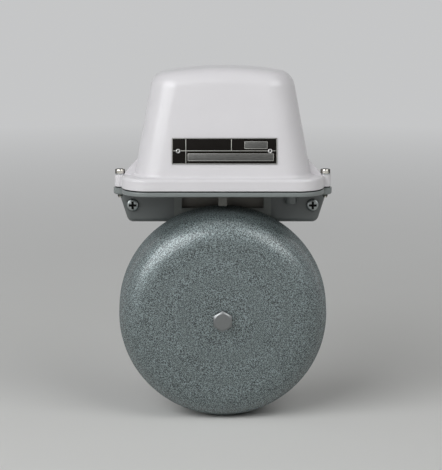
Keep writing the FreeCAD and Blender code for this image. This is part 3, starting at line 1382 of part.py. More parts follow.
def make_wires():
    """Coil wires: one link between the coils and a lead from each coil to its terminal."""
    radius = number("lead_radius")
    bend = radius * 1.8
    leg, y = number("core_leg_offset"), -number("mechanism_y")
    near = number("coil_radius + seat_play") * math.sqrt(0.5)
    far = number("former_flange_radius + lead_radius + seat_play * 2") * math.sqrt(0.5)
    low = number("yoke_top + coil_play + former_flange_thickness") + radius * 4
    high = number("yoke_top + coil_play + coil_height - former_flange_thickness") - radius * 4
    bent_wire("coil_link", [
        Vector(-leg + near, y + near, low), Vector(-leg + far, y + far, low),
        Vector(leg - far, y + far, low), Vector(leg - near, y + near, low),
    ], radius, bend)
    under = number("block_z - block_height / 2")
    middle = -number("block_x")
    shift = number("terminal_pitch / 2")
    for word, coil, terminal in (("left", -leg, middle - shift), ("right", leg, middle + shift)):
        bent_wire("coil_lead_" + word, [
            Vector(coil - near, y + near, high), Vector(coil - far, y + far, high),
            Vector(coil - far, y + far, high + 8), Vector(terminal, y + far, under - 5),
            Vector(terminal, y + far, under - 0.2),
        ], radius, bend)


# Export
def check_and_export():
    doc.recompute()
    for thing in doc.Objects:
        if "Invalid" in thing.State or "Error" in thing.State:
            raise RuntimeError(f"{thing.Name} is {thing.State}")
    labels = set()
    for thing in NODES:
        shape = thing.Shape
        if shape.isNull() or not shape.isValid() or not shape.Solids:
            raise RuntimeError(f"{thing.Label} has no valid solid")
        labels.add(thing.Label)
    if len(labels) != len(NODES):
        raise RuntimeError("two nodes share a name")
    os.makedirs("parts", exist_ok=True)
    for thing in NODES:
        thing.Shape.exportStep(f"parts/{thing.Label}.step")
        print(thing.Label, len(thing.Shape.Solids), round(thing.Shape.Volume, 1))


make_back_plate()
make_base_housing()
make_base_fittings()
make_gong()
make_gong_mounting()
make_hood()
make_hood_fittings()
make_frame()
make_magnet()
make_pivot()
make_stop()
make_hammer()
make_spring()
make_terminals()
make_wires()
check_and_export()
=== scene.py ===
import json
import math

import bmesh
import bpy
from mathutils import Matrix, Vector


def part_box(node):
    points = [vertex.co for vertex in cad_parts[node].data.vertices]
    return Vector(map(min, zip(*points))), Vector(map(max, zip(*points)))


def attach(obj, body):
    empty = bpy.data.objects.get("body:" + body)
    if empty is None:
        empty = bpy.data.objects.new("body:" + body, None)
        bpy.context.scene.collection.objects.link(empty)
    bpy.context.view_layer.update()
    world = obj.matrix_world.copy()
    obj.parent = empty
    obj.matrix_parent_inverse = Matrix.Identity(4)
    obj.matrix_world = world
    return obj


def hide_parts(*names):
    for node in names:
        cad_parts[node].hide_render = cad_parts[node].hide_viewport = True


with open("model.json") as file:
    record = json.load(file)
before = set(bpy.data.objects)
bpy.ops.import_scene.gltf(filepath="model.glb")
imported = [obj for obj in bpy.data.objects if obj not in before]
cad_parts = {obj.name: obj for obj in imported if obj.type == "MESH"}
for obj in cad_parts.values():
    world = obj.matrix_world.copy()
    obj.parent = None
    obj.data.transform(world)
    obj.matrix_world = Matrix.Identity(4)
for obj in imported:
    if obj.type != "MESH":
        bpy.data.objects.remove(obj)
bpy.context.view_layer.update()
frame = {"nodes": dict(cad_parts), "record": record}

# Lengths are in metres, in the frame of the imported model: -Y is the front and +Z is up
MM = 0.001
GONG_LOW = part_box("gong")[0].z

# Camera: it looks slightly down on the bell from straight in front
CAMERA_PITCH = math.radians(10.812)
CAMERA_REACH = 1.6
CAMERA_AIM = Vector((-1.236 * MM, 0, -54.456 * MM))
FRAME_HEIGHT = 36.0
LENS = 167.72
LIGHT_AIM = Vector((0, 0, -50 * MM))
AMBIENT = 0.24
SKY = (0.56, 0.565, 0.57)

# Floor: a wide disc just below the gong, which fades into the sky's colour between two distances
FLOOR_RADIUS = 40.0
FLOOR_GAP = 0.2 * MM
FLOOR_FADE = (0.35, 1.5)

# Heads of the two visible kinds of screw: radius and height
HOUSING_HEAD = (4.5 * MM, 2.6 * MM)
HOOD_HEAD = (3.5 * MM, 3.0 * MM)

# Threads: outer radius and pitch
HOUSING_THREAD = (2.5 * MM, 0.8 * MM)
HOOD_THREAD = (2.0 * MM, 0.7 * MM)
BOLT_THREAD = (4.0 * MM, 1.25 * MM)

# How far round the two hood screws were left turned, in degrees
HOOD_SCREW_TURNS = (25, -50)

# The gong's bolt and its nut
ACROSS_FLATS = 13 * MM
BOLT_HEAD_RISE = 5.3 * MM
BOLT_PLAIN_LENGTH = 36 * MM

# Coil windings: the radius of their bore, the turns of tape, how far the grooves and the turns lie in
# from the winding's outside, and points up one turn as a share of its height and a swell in millimetres
WINDING_BORE = 9.1 * MM
TAPE_TURNS = 7
TAPE_GROOVE = 0.7 * MM
TAPE_SINK = 0.5 * MM
THICK_TURN_SINK = 0.35 * MM
TAPE_SKIN = ((0.05, 0.25), (0.14, 0.34), (0.6, 0.22), (0.98, 0.0))

# Foot of the hood's wall on its flange
HOOD_LEDGE = -4.8 * MM
HOOD_HALF = 62.9 * MM
HOOD_FRONT = 47.6 * MM
HOOD_REAR = 8.6 * MM
HOOD_CORNER = 20 * MM
SIDE_LEAN = math.radians(10.5)
FRONT_LEAN = math.radians(8.0)
COVE = 2.4 * MM
COVE_SINK = 0.4 * MM

# Nameplate and its rivets; a mark stands up from the plate by its height
PLATE_THICKNESS = 0.8 * MM
PLATE_EDGE = 0.2 * MM
RULE_WIDTH = 0.42 * MM
RULE_HEIGHT = 0.12 * MM
FIELD_HEIGHT = 0.1 * MM
MARK_SINK = 0.02 * MM
RIVET_RADIUS = 1.75 * MM
RIVET_SHANK = 1.0 * MM
RIVET_LENGTH = 3.8 * MM

# Marks on the plate, in millimetres. A rule has its place across and up from the plate's centre and its
# length, and a field has its place, its width and its height
BORDER_MARGIN = 0.4
BORDER_LINE = 0.3
FIELD_LINE = 0.28
LEFT_RULE = (-27.2, 0, 17.0)
LONG_RULE = (0, 0.2, 72.0)
SHORT_RULE = (4.9, 4.3, 8.2)
FIELD_PLACES = ((22.2, 4.2, 16.2, 5.2), (4.4, -4.3, 60.6, 5.2))


# Shader arithmetic
class Value:
    """A socket of a shader tree that takes part in sums."""

    def __init__(self, tree, socket):
        self.tree = tree
        self.socket = socket

    def math(self, operation, first, second):
        return self.tree.node("ShaderNodeMath", {"operation": operation}, {0: first, 1: second})

    def __add__(self, other):
        return self.math("ADD", self, other)

    def __radd__(self, other):
        return self.math("ADD", other, self)

    def __sub__(self, other):
        return self.math("SUBTRACT", self, other)

    def __rsub__(self, other):
        return self.math("SUBTRACT", other, self)

    def __mul__(self, other):
        return self.math("MULTIPLY", self, other)

    def __rmul__(self, other):
        return self.math("MULTIPLY", other, self)

    def __or__(self, other):
        return self.math("MAXIMUM", self, other)


class Tree:
    """A node tree, with one method that adds any node to it."""

    def __init__(self, nodes):
        self.tree = nodes

    def set(self, node, inputs):
        """Link a node's inputs or set their values; a colour of three parts is made opaque."""
        for key, value in inputs.items():
            if isinstance(value, Value):
                self.tree.links.new(value.socket, node.inputs[key])
            elif isinstance(value, tuple) and len(value) == 3 and node.inputs[key].type == "RGBA":
                node.inputs[key].default_value = (*value, 1.0)
            else:
                node.inputs[key].default_value = value

    def node(self, kind, settings=None, inputs=None, output=0):
        """Add a node with its settings and inputs, and return one of its outputs."""
        node = self.tree.nodes.new(kind)
        for key, value in (settings or {}).items():
            setattr(node, key, value)
        self.set(node, inputs or {})
        return Value(self, node.outputs[output])

    def step(self, value, low, high, start=0.0, end=1.0):
        """Stretch a value so that low becomes start and high becomes end."""
        return self.node("ShaderNodeMapRange", {}, {"Value": value, "From Min": low, "From Max": high,
                                                    "To Min": start, "To Max": end})

    def looking(self):
        """1 for the rays that show the background: straight, mirrored or passed through."""
        camera, glossy, clear = (self.node("ShaderNodeLightPath", output=kind)
                                 for kind in ("Is Camera Ray", "Is Glossy Ray", "Is Transmission Ray"))
        return camera | glossy | clear


class Paint(Tree):
    """One material: a Principled shader and the nodes that feed it."""

    def __init__(self, name, **constants):
        self.material = bpy.data.materials.new(name)
        self.material.use_nodes = True
        super().__init__(self.material.node_tree)
        self.shader = self.tree.nodes["Principled BSDF"]
        self.feed(**constants)

    def feed(self, **inputs):
        """Set or link the shader's inputs, whose names have _ for each space."""
        self.set(self.shader, {key.replace("_", " "): value for key, value in inputs.items()})
        return self.material

    def place(self, stretch=(1, 1, 1)):
        """The object's own coordinates, in metres, stretched where a pattern runs one way."""
        spot = self.node("ShaderNodeTexCoord", output="Object")
        return self.node("ShaderNodeVectorMath", {"operation": "MULTIPLY"}, {0: spot, 1: stretch})

    def steepness(self):
        """0 where the surface faces the eye, 1 where it is seen along its skin."""
        return self.node("ShaderNodeLayerWeight", {}, {"Blend": 0.5}, output="Facing")

    def along(self, axis):
        """The object's own coordinate along X, Y or Z, numbered from 0."""
        return self.node("ShaderNodeSeparateXYZ", {}, {0: self.place()}, output=axis)

    def noise(self, size, detail=2.0, stretch=(1, 1, 1)):
        """Cloudy noise from 0 to 1 whose lumps are about size metres across."""
        return self.node("ShaderNodeTexNoise", {}, {"Vector": self.place(stretch), "Scale": 1 / size,
                                                    "Detail": detail})

    def cells(self, size):
        """Distance within rounded cells about size metres across."""
        return self.node("ShaderNodeTexVoronoi", {"feature": "SMOOTH_F1"},
                         {"Vector": self.place(), "Scale": 1 / size})

    def mix(self, amount, first, second):
        return self.node("ShaderNodeMix", {"data_type": "RGBA"}, {0: amount, 6: first, 7: second}, output=2)

    def bump(self, height, depth, strength):
        return self.node("ShaderNodeBump", {}, {"Height": height, "Distance": depth, "Strength": strength})


# Finishes
def enamel(name, colour, roughness, coat=0.25, recess=0.0):
    """Stoved enamel on a casting: faint mottle, orange peel and the casting's slow waves.

    A recess above 0 darkens what lies back under the base's flange: painted shade of the flange's shadow.
    """
    paint = Paint(name, Coat_Weight=coat, Coat_Roughness=0.14, Specular_IOR_Level=0.5)
    mottle = paint.noise(22 * MM, 3)
    deep = tuple(share * 0.95 for share in colour)
    peel = paint.noise(1.6 * MM, 1)
    waves = paint.noise(14 * MM, 1)
    tone = paint.mix(mottle, deep, colour)
    # Painted shade: the colour darkens where the housing lies back under its flange
    if recess:
        back = paint.step(paint.along(1), -24 * MM, -15 * MM)
        under = paint.step(paint.along(2), -16.8 * MM, -18.2 * MM)
        flange_shade = tuple(share * (1 - recess) for share in colour)
        tone = paint.mix(back * under, tone, flange_shade)
    return paint.feed(
        Base_Color=tone,
        Roughness=roughness + (paint.noise(6 * MM) - 0.5) * 0.08,
        Normal=paint.bump(peel * 0.12 + waves, 0.35 * MM, 0.35),
    )


def hammertone(name):
    """Hammer-finish paint: a metallic blue-grey broken up by small darker pits, under a clear coat."""
    paint = Paint(name, Metallic=0.5, Coat_Roughness=0.24)
    flecks = paint.noise(0.46 * MM, 1.0)
    pits = paint.cells(0.7 * MM)
    tone = paint.step(flecks * 0.8 + pits * 0.3, 0.45, 0.63)
    cloud = paint.noise(30 * MM, 2)
    base = paint.mix(tone, (0.008, 0.012, 0.012), (0.295, 0.36, 0.365))
    edge = paint.step(paint.steepness(), 0.55, 0.85)
    return paint.feed(
        Base_Color=paint.mix(cloud * 0.15, base, (0.11, 0.13, 0.13)),
        Coat_Weight=0.8 - edge * 0.75,
        Roughness=0.46 - tone * 0.12 + edge * 0.3,
        Normal=paint.bump(tone, 0.12 * MM, 0.45),
    )


def plating(name, colour, roughness, grain=0.5 * MM, slant_shade=None, cloud_size=5 * MM):
    """Plated or machined metal with a fine grain and slightly cloudy gloss; an optional colour paints shade
    onto faces seen at a slant.
    """
    paint = Paint(name, Metallic=1.0)
    cloud = paint.noise(cloud_size, 3)
    fine = paint.noise(grain, 2)
    dull = tuple(share * 0.8 for share in colour)
    tone = paint.mix(cloud, dull, colour)
    # Painted shade: mix towards the given colour where the surface is seen at a slant
    if slant_shade:
        tone = paint.mix(paint.step(paint.steepness(), 0.12, 0.5), tone, slant_shade)
    return paint.feed(
        Base_Color=tone,
        Roughness=roughness + (cloud - 0.5) * 0.2,
        Normal=paint.bump(fine, 0.02 * MM, 0.35),
    )


def plastic(name, colour, roughness, size=0.7 * MM, sheen=0.5):
    """Moulded plastic, rubber or fibre with a fine surface and uneven sheen."""
    paint = Paint(name, Specular_IOR_Level=sheen)
    cloud = paint.noise(9 * MM, 2)
    pale = tuple(min(1.0, share * 1.12 + 0.004) for share in colour)
    return paint.feed(
        Base_Color=paint.mix(cloud, colour, pale),
        Roughness=roughness + (cloud - 0.5) * 0.14,
        Normal=paint.bump(paint.noise(size, 2), 0.05 * MM, 0.4),
    )


def laminations(name):
    """Stacked core sheets: thin dark lines along the depth of the stack."""
    paint = Paint(name, Metallic=0.9)
    sheets = paint.node("ShaderNodeTexWave", {"bands_direction": "Y"},
                        {"Vector": paint.place(), "Scale": 1 / (6.3 * MM), "Distortion": 0.15,
                         "Detail": 0.0})
    rust = paint.step(paint.noise(7 * MM, 4), 0.52, 0.75)
    steel = paint.mix(sheets, (0.10, 0.10, 0.11), (0.30, 0.30, 0.31))
    return paint.feed(
        Base_Color=paint.mix(rust * 0.4, steel, (0.16, 0.10, 0.06)),
        Roughness=0.42 + rust * 0.2,
        Normal=paint.bump(sheets, 0.05 * MM, 0.5),
    )


def winding_tape(name):
    """Glossy amber tape, a little darker where it wrinkles."""
    paint = Paint(name, Coat_Weight=0.4, Coat_Roughness=0.18)
    wrinkles = paint.noise(2.2 * MM, 3, stretch=(1, 1, 2.5))
    patches = paint.step(paint.noise(6 * MM, 2), 0.4, 0.7)
    amber = paint.mix(wrinkles, (0.40, 0.21, 0.035), (0.62, 0.38, 0.085))
    return paint.feed(
        Base_Color=paint.mix(patches * 0.35, amber, (0.30, 0.13, 0.02)),
        Roughness=0.32 + wrinkles * 0.16,
        Normal=paint.bump(wrinkles, 0.12 * MM, 0.5),
    )


def brushed_field(name):
    """The brushed fields of the nameplate, fine streaks along the plate."""
    paint = Paint(name, Metallic=0.7)
    streaks = paint.noise(0.35 * MM, 3, stretch=(0.12, 1, 1))
    return paint.feed(
        Base_Color=paint.mix(streaks, (0.045, 0.045, 0.043), (0.17, 0.17, 0.16)),
        Roughness=0.48 - streaks * 0.1,
        Normal=paint.bump(streaks, 0.01 * MM, 0.4),
    )


FINISHES = {
    "white_enamel": enamel("white enamel", (0.715, 0.70, 0.715), 0.36, coat=0.4),
    "grey_enamel": enamel("grey enamel", (0.205, 0.226, 0.222), 0.38, recess=0.5),
    "grey_paint": enamel("bracket paint", (0.15, 0.16, 0.15), 0.5),
    "hammertone": hammertone("hammertone"),
    "zinc": plating("zinc plating", (0.60, 0.61, 0.62), 0.34),
    "rubber": plastic("black rubber", (0.007, 0.007, 0.007), 0.75, 0.7 * MM, 0.2),
    "fibre": plastic("red fibre", (0.22, 0.05, 0.03), 0.6, 0.4 * MM),
    "core_steel": laminations("core sheets"),
    "former_plastic": plastic("nylon", (0.66, 0.64, 0.56), 0.4),
    "coil_tape": winding_tape("coil tape"),
    "brass": plating("brass", (0.66, 0.47, 0.20), 0.3),
    "phenolic": plastic("black phenolic", (0.025, 0.02, 0.018), 0.3),
    "wire_cover": plastic("red wire cover", (0.38, 0.02, 0.015), 0.35),
    "plated_screw": plating("bright plating", (0.86, 0.83, 0.76), 0.16, slant_shade=(0.03, 0.025, 0.018)),
    "plate_black": plastic("black plate enamel", (0.004, 0.003, 0.002), 0.55, 0.3 * MM, 0.08),
    "aluminium": plating("rivet aluminium", (0.55, 0.55, 0.54), 0.4),
}
FIELD = brushed_field("brushed field")
RULE = plating("silver rule", (0.62, 0.62, 0.58), 0.4, 0.2 * MM)
NODE_FINISHES = {
    "back_plate": plating("dark wall plate", (0.21, 0.20, 0.18), 0.5, 0.8 * MM),
    "gong_bolt": plating("dull bolt steel", (0.26, 0.27, 0.27), 0.36, 0.6 * MM, cloud_size=1.6 * MM),
    "striker": plating("hardened striker", (0.13, 0.13, 0.12), 0.38, 0.5 * MM),
    "pivot_pin": plating("pin steel", (0.62, 0.60, 0.56), 0.2),
    "pin_clips": plating("blackened clips", (0.05, 0.05, 0.055), 0.4),
    "return_spring": plating("spring steel", (0.42, 0.40, 0.36), 0.24),
    "mechanism_frame": plating("frame zinc", (0.52, 0.53, 0.52), 0.42, 0.8 * MM, cloud_size=9 * MM),
    "armature": plating("soft iron", (0.30, 0.295, 0.29), 0.4, 0.4 * MM, cloud_size=4 * MM),
    "housing_screws": plating("grey screw plating", (0.36, 0.385, 0.38), 0.34, slant_shade=(0.07, 0.08, 0.08)),
}
# Painted shade for the insides of the screws' cross recesses and the rivets' dimples
RECESS = plastic("shadowed recess", (0.012, 0.012, 0.01), 0.7, 0.4 * MM, 0.2)


def finish_nodes():
    """Give every node of the frame its own finish, or else that of its slot."""
    for part in frame["record"]["subparts"]:
        node = frame["nodes"][part["node"]]
        node.data.materials.clear()
        finish = NODE_FINISHES.get(part["node"]) or FINISHES[part["material_slot"]]
        node.data.materials.append(finish)


# Mesh helpers
def mesh_object(name, mesh, *materials, crease=35):
    """A new object of the scene from a bmesh, smooth but for edges sharper than crease degrees."""
    bmesh.ops.recalc_face_normals(mesh, faces=mesh.faces)
    data = bpy.data.meshes.new(name)
    mesh.to_mesh(data)
    mesh.free()
    for face in data.polygons:
        face.use_smooth = True
    data.set_sharp_from_angle(angle=math.radians(crease))
    for material in materials:
        data.materials.append(material)
    made = bpy.data.objects.new(name, data)
    bpy.context.scene.collection.objects.link(made)
    return made


def fit(piece, body, slot, *nodes):
    """Attach a piece to the body it moves with and hide the nodes it replaces; the slot is not used."""
    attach(piece, body)
    if nodes:
        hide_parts(*nodes)


def lathe(mesh, profile, turns=64, place=Matrix()):
    """Add a form turned about Z from (radius, height) points; a radius of zero closes it."""
    spokes = [math.tau * count / turns for count in range(turns)]
    rings = []
    for radius, height in profile:
        if radius == 0:
            rings.append([mesh.verts.new(place @ Vector((0, 0, height)))] * turns)
        else:
            ring = [Vector((radius * math.cos(turn), radius * math.sin(turn), height)) for turn in spokes]
            rings.append([mesh.verts.new(place @ point) for point in ring])
    for low, high in zip(rings, rings[1:]):
        for count in range(turns):
            after = (count + 1) % turns
            corners = dict.fromkeys((low[count], low[after], high[after], high[count]))
            mesh.faces.new(corners)


def prism(mesh, low, high):
    """Add a closed form between two outlines with the same number of points."""
    rows = [[mesh.verts.new(point) for point in outline] for outline in (low, high)]
    count = len(low)
    for here in range(count):
        after = (here + 1) % count
        mesh.faces.new((rows[0][here], rows[0][after], rows[1][after], rows[1][here]))
    mesh.faces.new(rows[0][::-1])
    mesh.faces.new(rows[1])


def combined(base, tool, operation):
    """The mesh left when tool is cut from base, or where both are, as a new bmesh."""
    body = mesh_object("work", base)
    cutter = mesh_object("cutter", tool)
    change = body.modifiers.new("work", "BOOLEAN")
    change.operation = operation
    change.solver = "EXACT"
    change.object = cutter
    bpy.context.view_layer.update()
    finished = body.evaluated_get(bpy.context.evaluated_depsgraph_get())
    data = bpy.data.meshes.new_from_object(finished)
    result = bmesh.new()
    result.from_mesh(data)
    for scrap in (body, cutter):
        old = scrap.data
        bpy.data.objects.remove(scrap)
        bpy.data.meshes.remove(old)
    bpy.data.meshes.remove(data)
    return result


def copies(piece, places):
    """One bmesh with a copy of piece at each place."""
    data = bpy.data.meshes.new("copy")
    piece.to_mesh(data)
    piece.free()
    whole = bmesh.new()
    for place in places:
        before = len(whole.verts)
        whole.from_mesh(data)
        whole.verts.ensure_lookup_table()
        bmesh.ops.transform(whole, matrix=place, verts=whole.verts[before:])
    bpy.data.meshes.remove(data)
    return whole


def slab(mesh, centre, size, across, up, material=0, edge=0.0):
    """Add a box given by its centre, size and two axes, with its edges rounded off."""
    out = across.cross(up)
    turn = Matrix((across, up, out)).transposed().to_4x4()
    scale = Matrix.Diagonal((*size, 1))
    made = bmesh.ops.create_cube(mesh, size=1, matrix=Matrix.Translation(centre) @ turn @ scale)
    faces = {face for vert in made["verts"] for face in vert.link_faces}
    for face in faces:
        face.material_index = material
    if edge:
        edges = {side for face in faces for side in face.edges}
        bmesh.ops.bevel(mesh, geom=list(edges), offset=edge, segments=3, profile=0.5, affect="EDGES",
                        clamp_overlap=True)


# Screws and bolts
def thread(radius, top, end, pitch):
    """Profile points of a threaded shank from top down to end, with a tapered tip."""
    root = radius - pitch * 0.45
    tip = radius * 0.65
    points = []
    height = top - pitch
    while height > end + radius * 0.5:
        points += [(radius, height), (root, height - pitch / 2)]
        height -= pitch
    return points + [(tip, end), (0, end)]


def rectangle(swing, reach, half, height):
    """The corners of a flat rectangle centred on the Z axis at a height, turned by swing."""
    return [swing @ Vector((x * reach, y * half, height)) for x, y in ((-1, -1), (1, -1), (1, 1), (-1, 1))]


def pan_screw(radius, length, head, rise, pitch):
    """A pan-head screw with a tapered cross recess, its head's underside at the origin."""
    body = bmesh.new()
    steps = 10
    crown = [(head * math.cos(turn) ** 0.6, rise * (0.45 + 0.55 * math.sin(turn)))
             for turn in (math.pi / 2 * step / steps for step in range(steps))]
    skirt = [(head, rise * 0.2), (head * 0.97, 0), (radius, 0)]
    lathe(body, [(0, rise)] + crown[::-1] + skirt + thread(radius, 0, -length, pitch))
    for turn in (0, 90):
        swing = Matrix.Rotation(math.radians(turn), 4, "Z")
        bottom = rectangle(swing, head * 0.34, head * 0.1, rise * 0.2)
        mouth = rectangle(swing, head * 0.68, head * 0.2, rise * 1.05)
        arm = bmesh.new()
        prism(arm, bottom, mouth)
        body = combined(body, arm, "DIFFERENCE")
    # Faces inside the cross recess take the second material, which is painted shade
    for face in body.faces:
        spot = face.calc_center_median()
        if math.hypot(spot.x, spot.y) < head * 0.72 and rise * 0.1 < spot.z < rise * 0.88:
            face.material_index = 1
    return body


def cheese_screw(radius, length, head, rise, pitch):
    """A slotted cheese-head screw with a turned edge."""
    body = bmesh.new()
    top = [(0, rise), (head * 0.84, rise), (head * 0.94, rise * 0.95), (head, rise * 0.82)]
    bottom = [(head, rise * 0.08), (head * 0.96, 0), (radius, 0)]
    lathe(body, top + bottom + thread(radius, 0, -length, pitch))
    slot = bmesh.new()
    slab(slot, Vector((0, 0, rise * 0.8)), (head * 2.4, head * 0.26, rise * 0.7), Vector((1, 0, 0)),
         Vector((0, 1, 0)))
    return combined(body, slot, "DIFFERENCE")


def hexagonal(across, low, high, both=False):
    """A hexagonal form along Z with its corners turned off, at one end or at both."""
    bar = bmesh.new()
    spokes = [math.pi * corner / 3 for corner in range(6)]
    radius = across / math.sqrt(3)
    bottom, top = ([Vector((radius * math.sin(turn), radius * math.cos(turn), height)) for turn in spokes]
                   for height in (low, high))
    prism(bar, bottom, top)
    envelope = bmesh.new()
    wide, face, drop = across * 0.62, across * 0.435, across * 0.11
    foot = [(0, low), (face, low), (wide, low + drop)] if both else [(0, low - MM), (wide, low - MM)]
    lathe(envelope, foot + [(wide, high - drop), (face, high), (0, high)])
    return combined(bar, envelope, "INTERSECT")


def facing_front(x, y, z):
    """A place whose own Z axis points out of the front."""
    return Matrix.Translation((x, y, z)) @ Matrix.Rotation(math.radians(90), 4, "X")


def visible_screws():
    """The screws of the apron and of the hood, with their recesses, slots and threads."""
    low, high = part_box("housing_screws")
    head, rise = HOUSING_HEAD
    radius, pitch = HOUSING_THREAD
    middle = (low.z + high.z) / 2
    screws = copies(pan_screw(radius, high.y - low.y - rise, head, rise, pitch),
                    [facing_front(x, low.y + rise, middle) for x in (low.x + head, high.x - head)])
    made = mesh_object("housing_screws_cut", screws, NODE_FINISHES["housing_screws"], RECESS)
    fit(made, "bell_base", "zinc", "housing_screws")
    low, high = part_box("hood_screws")
    head, rise = HOOD_HEAD
    radius, pitch = HOOD_THREAD
    middle = (low.y + high.y) / 2
    places = []
    for x, turn in zip((low.x + head, high.x - head), HOOD_SCREW_TURNS):
        seat = Matrix.Translation((x, middle, high.z - rise))
        places.append(seat @ Matrix.Rotation(math.radians(turn), 4, "Z"))
    screws = copies(cheese_screw(radius, high.z - low.z - rise, head, rise, pitch), places)
    made = mesh_object("hood_screws_cut", screws, FINISHES["plated_screw"])
    fit(made, "hood_unit", "plated_screw", "hood_screws")


def gong_fixings():
    """The gong's bolt with its thread behind, and the nut with its flared bore."""
    low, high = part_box("gong_bolt")
    middle = (low.z + high.z) / 2
    radius, pitch = BOLT_THREAD
    length = high.y - low.y - BOLT_HEAD_RISE
    bolt = hexagonal(ACROSS_FLATS, 0, BOLT_HEAD_RISE)
    lathe(bolt, [(0, 0), (radius, 0)] + thread(radius, -BOLT_PLAIN_LENGTH, -length, pitch))
    bolt = copies(bolt, [facing_front(0, low.y + BOLT_HEAD_RISE, middle)])
    made = mesh_object("gong_bolt_cut", bolt, NODE_FINISHES["gong_bolt"], crease=25)
    fit(made, "bell_base", "zinc", "gong_bolt")
    low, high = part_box("gong_nut")
    deep = high.y - low.y
    nut = hexagonal(ACROSS_FLATS, 0, deep, both=True)
    mouth, narrow, flare = radius * 1.12, radius * 1.02, 0.5 * MM
    bore = bmesh.new()
    lathe(bore, [(0, -MM), (mouth, -MM), (narrow, flare), (narrow, deep - flare), (mouth, deep + MM),
                 (0, deep + MM)])
    nut = copies(combined(nut, bore, "DIFFERENCE"), [facing_front(0, high.y, middle)])
    fit(mesh_object("gong_nut_cut", nut, FINISHES["zinc"], crease=25), "bell_base", "zinc", "gong_nut")


def taped_windings():
    """Each coil's winding under overlapping turns of tape, with a thicker last turn but one."""
    for side in ("left", "right"):
        low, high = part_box("coil_winding_" + side)
        middle = (low + high) / 2
        outer = (high.x - low.x) / 2
        groove = outer - TAPE_GROOVE
        pitch = (high.z - low.z) / TAPE_TURNS
        profile = [(WINDING_BORE, low.z)]
        for turn in range(TAPE_TURNS):
            foot = low.z + turn * pitch
            sink = THICK_TURN_SINK if turn == TAPE_TURNS - 2 else TAPE_SINK
            profile.append((groove, foot))
            profile += [(outer - sink + swell * MM, foot + pitch * share) for share, swell in TAPE_SKIN]
        profile += [(groove, high.z), (WINDING_BORE, high.z), (WINDING_BORE, low.z)]
        mesh = bmesh.new()
        lathe(mesh, profile, 72, Matrix.Translation((middle.x, middle.y, 0)))
        bmesh.ops.remove_doubles(mesh, verts=mesh.verts, dist=0.001 * MM)
        taped = mesh_object("taped_winding_" + side, mesh, FINISHES["coil_tape"], crease=22)
        fit(taped, "bell_base", "coil_tape", "coil_winding_" + side)


# Hood
def foot_cove():
    """The soft cove between the hood's wall and its flange, from one rear edge round the front."""
    half, front, corner = HOOD_HALF, HOOD_FRONT, HOOD_CORNER
    steps = 24
    path = [(-half, -HOOD_REAR, -1, 0), (-half, -front + corner, -1, 0)]
    path += [(-half + corner - corner * math.cos(turn), -front + corner - corner * math.sin(turn),
              -math.cos(turn), -math.sin(turn))
             for turn in (math.pi / 2 * step / steps for step in range(1, steps))]
    path += [(-half + corner, -front, 0, -1)]
    path += [(-x, y, -nx, ny) for x, y, nx, ny in path[::-1]]
    mesh = bmesh.new()
    rows = []
    for x, y, nx, ny in path:
        lean = math.atan(abs(nx) * math.tan(SIDE_LEAN) + abs(ny) * math.tan(FRONT_LEAN))
        out = COVE * (1 - math.sin(lean)) / math.cos(lean)
        arc = [(out - COVE * math.cos(turn), COVE - COVE * math.sin(turn))
               for turn in (lean + (math.pi / 2 - lean) * step / 10 for step in range(11))]
        back = [(out, -COVE_SINK), (-COVE_SINK, -COVE_SINK)]
        section = [(arc[0][0] - COVE_SINK, arc[0][1])] + arc + back
        rows.append([mesh.verts.new((x + nx * run, y + ny * run, HOOD_LEDGE + rise))
                     for run, rise in section])
    for one, two in zip(rows, rows[1:]):
        for here in range(len(one)):
            after = (here + 1) % len(one)
            mesh.faces.new((one[here], one[after], two[after], two[here]))
    mesh.faces.new(rows[0])
    mesh.faces.new(rows[-1][::-1])
    fit(mesh_object("hood_foot_cove", mesh, FINISHES["white_enamel"]), "hood_unit", "white_enamel")


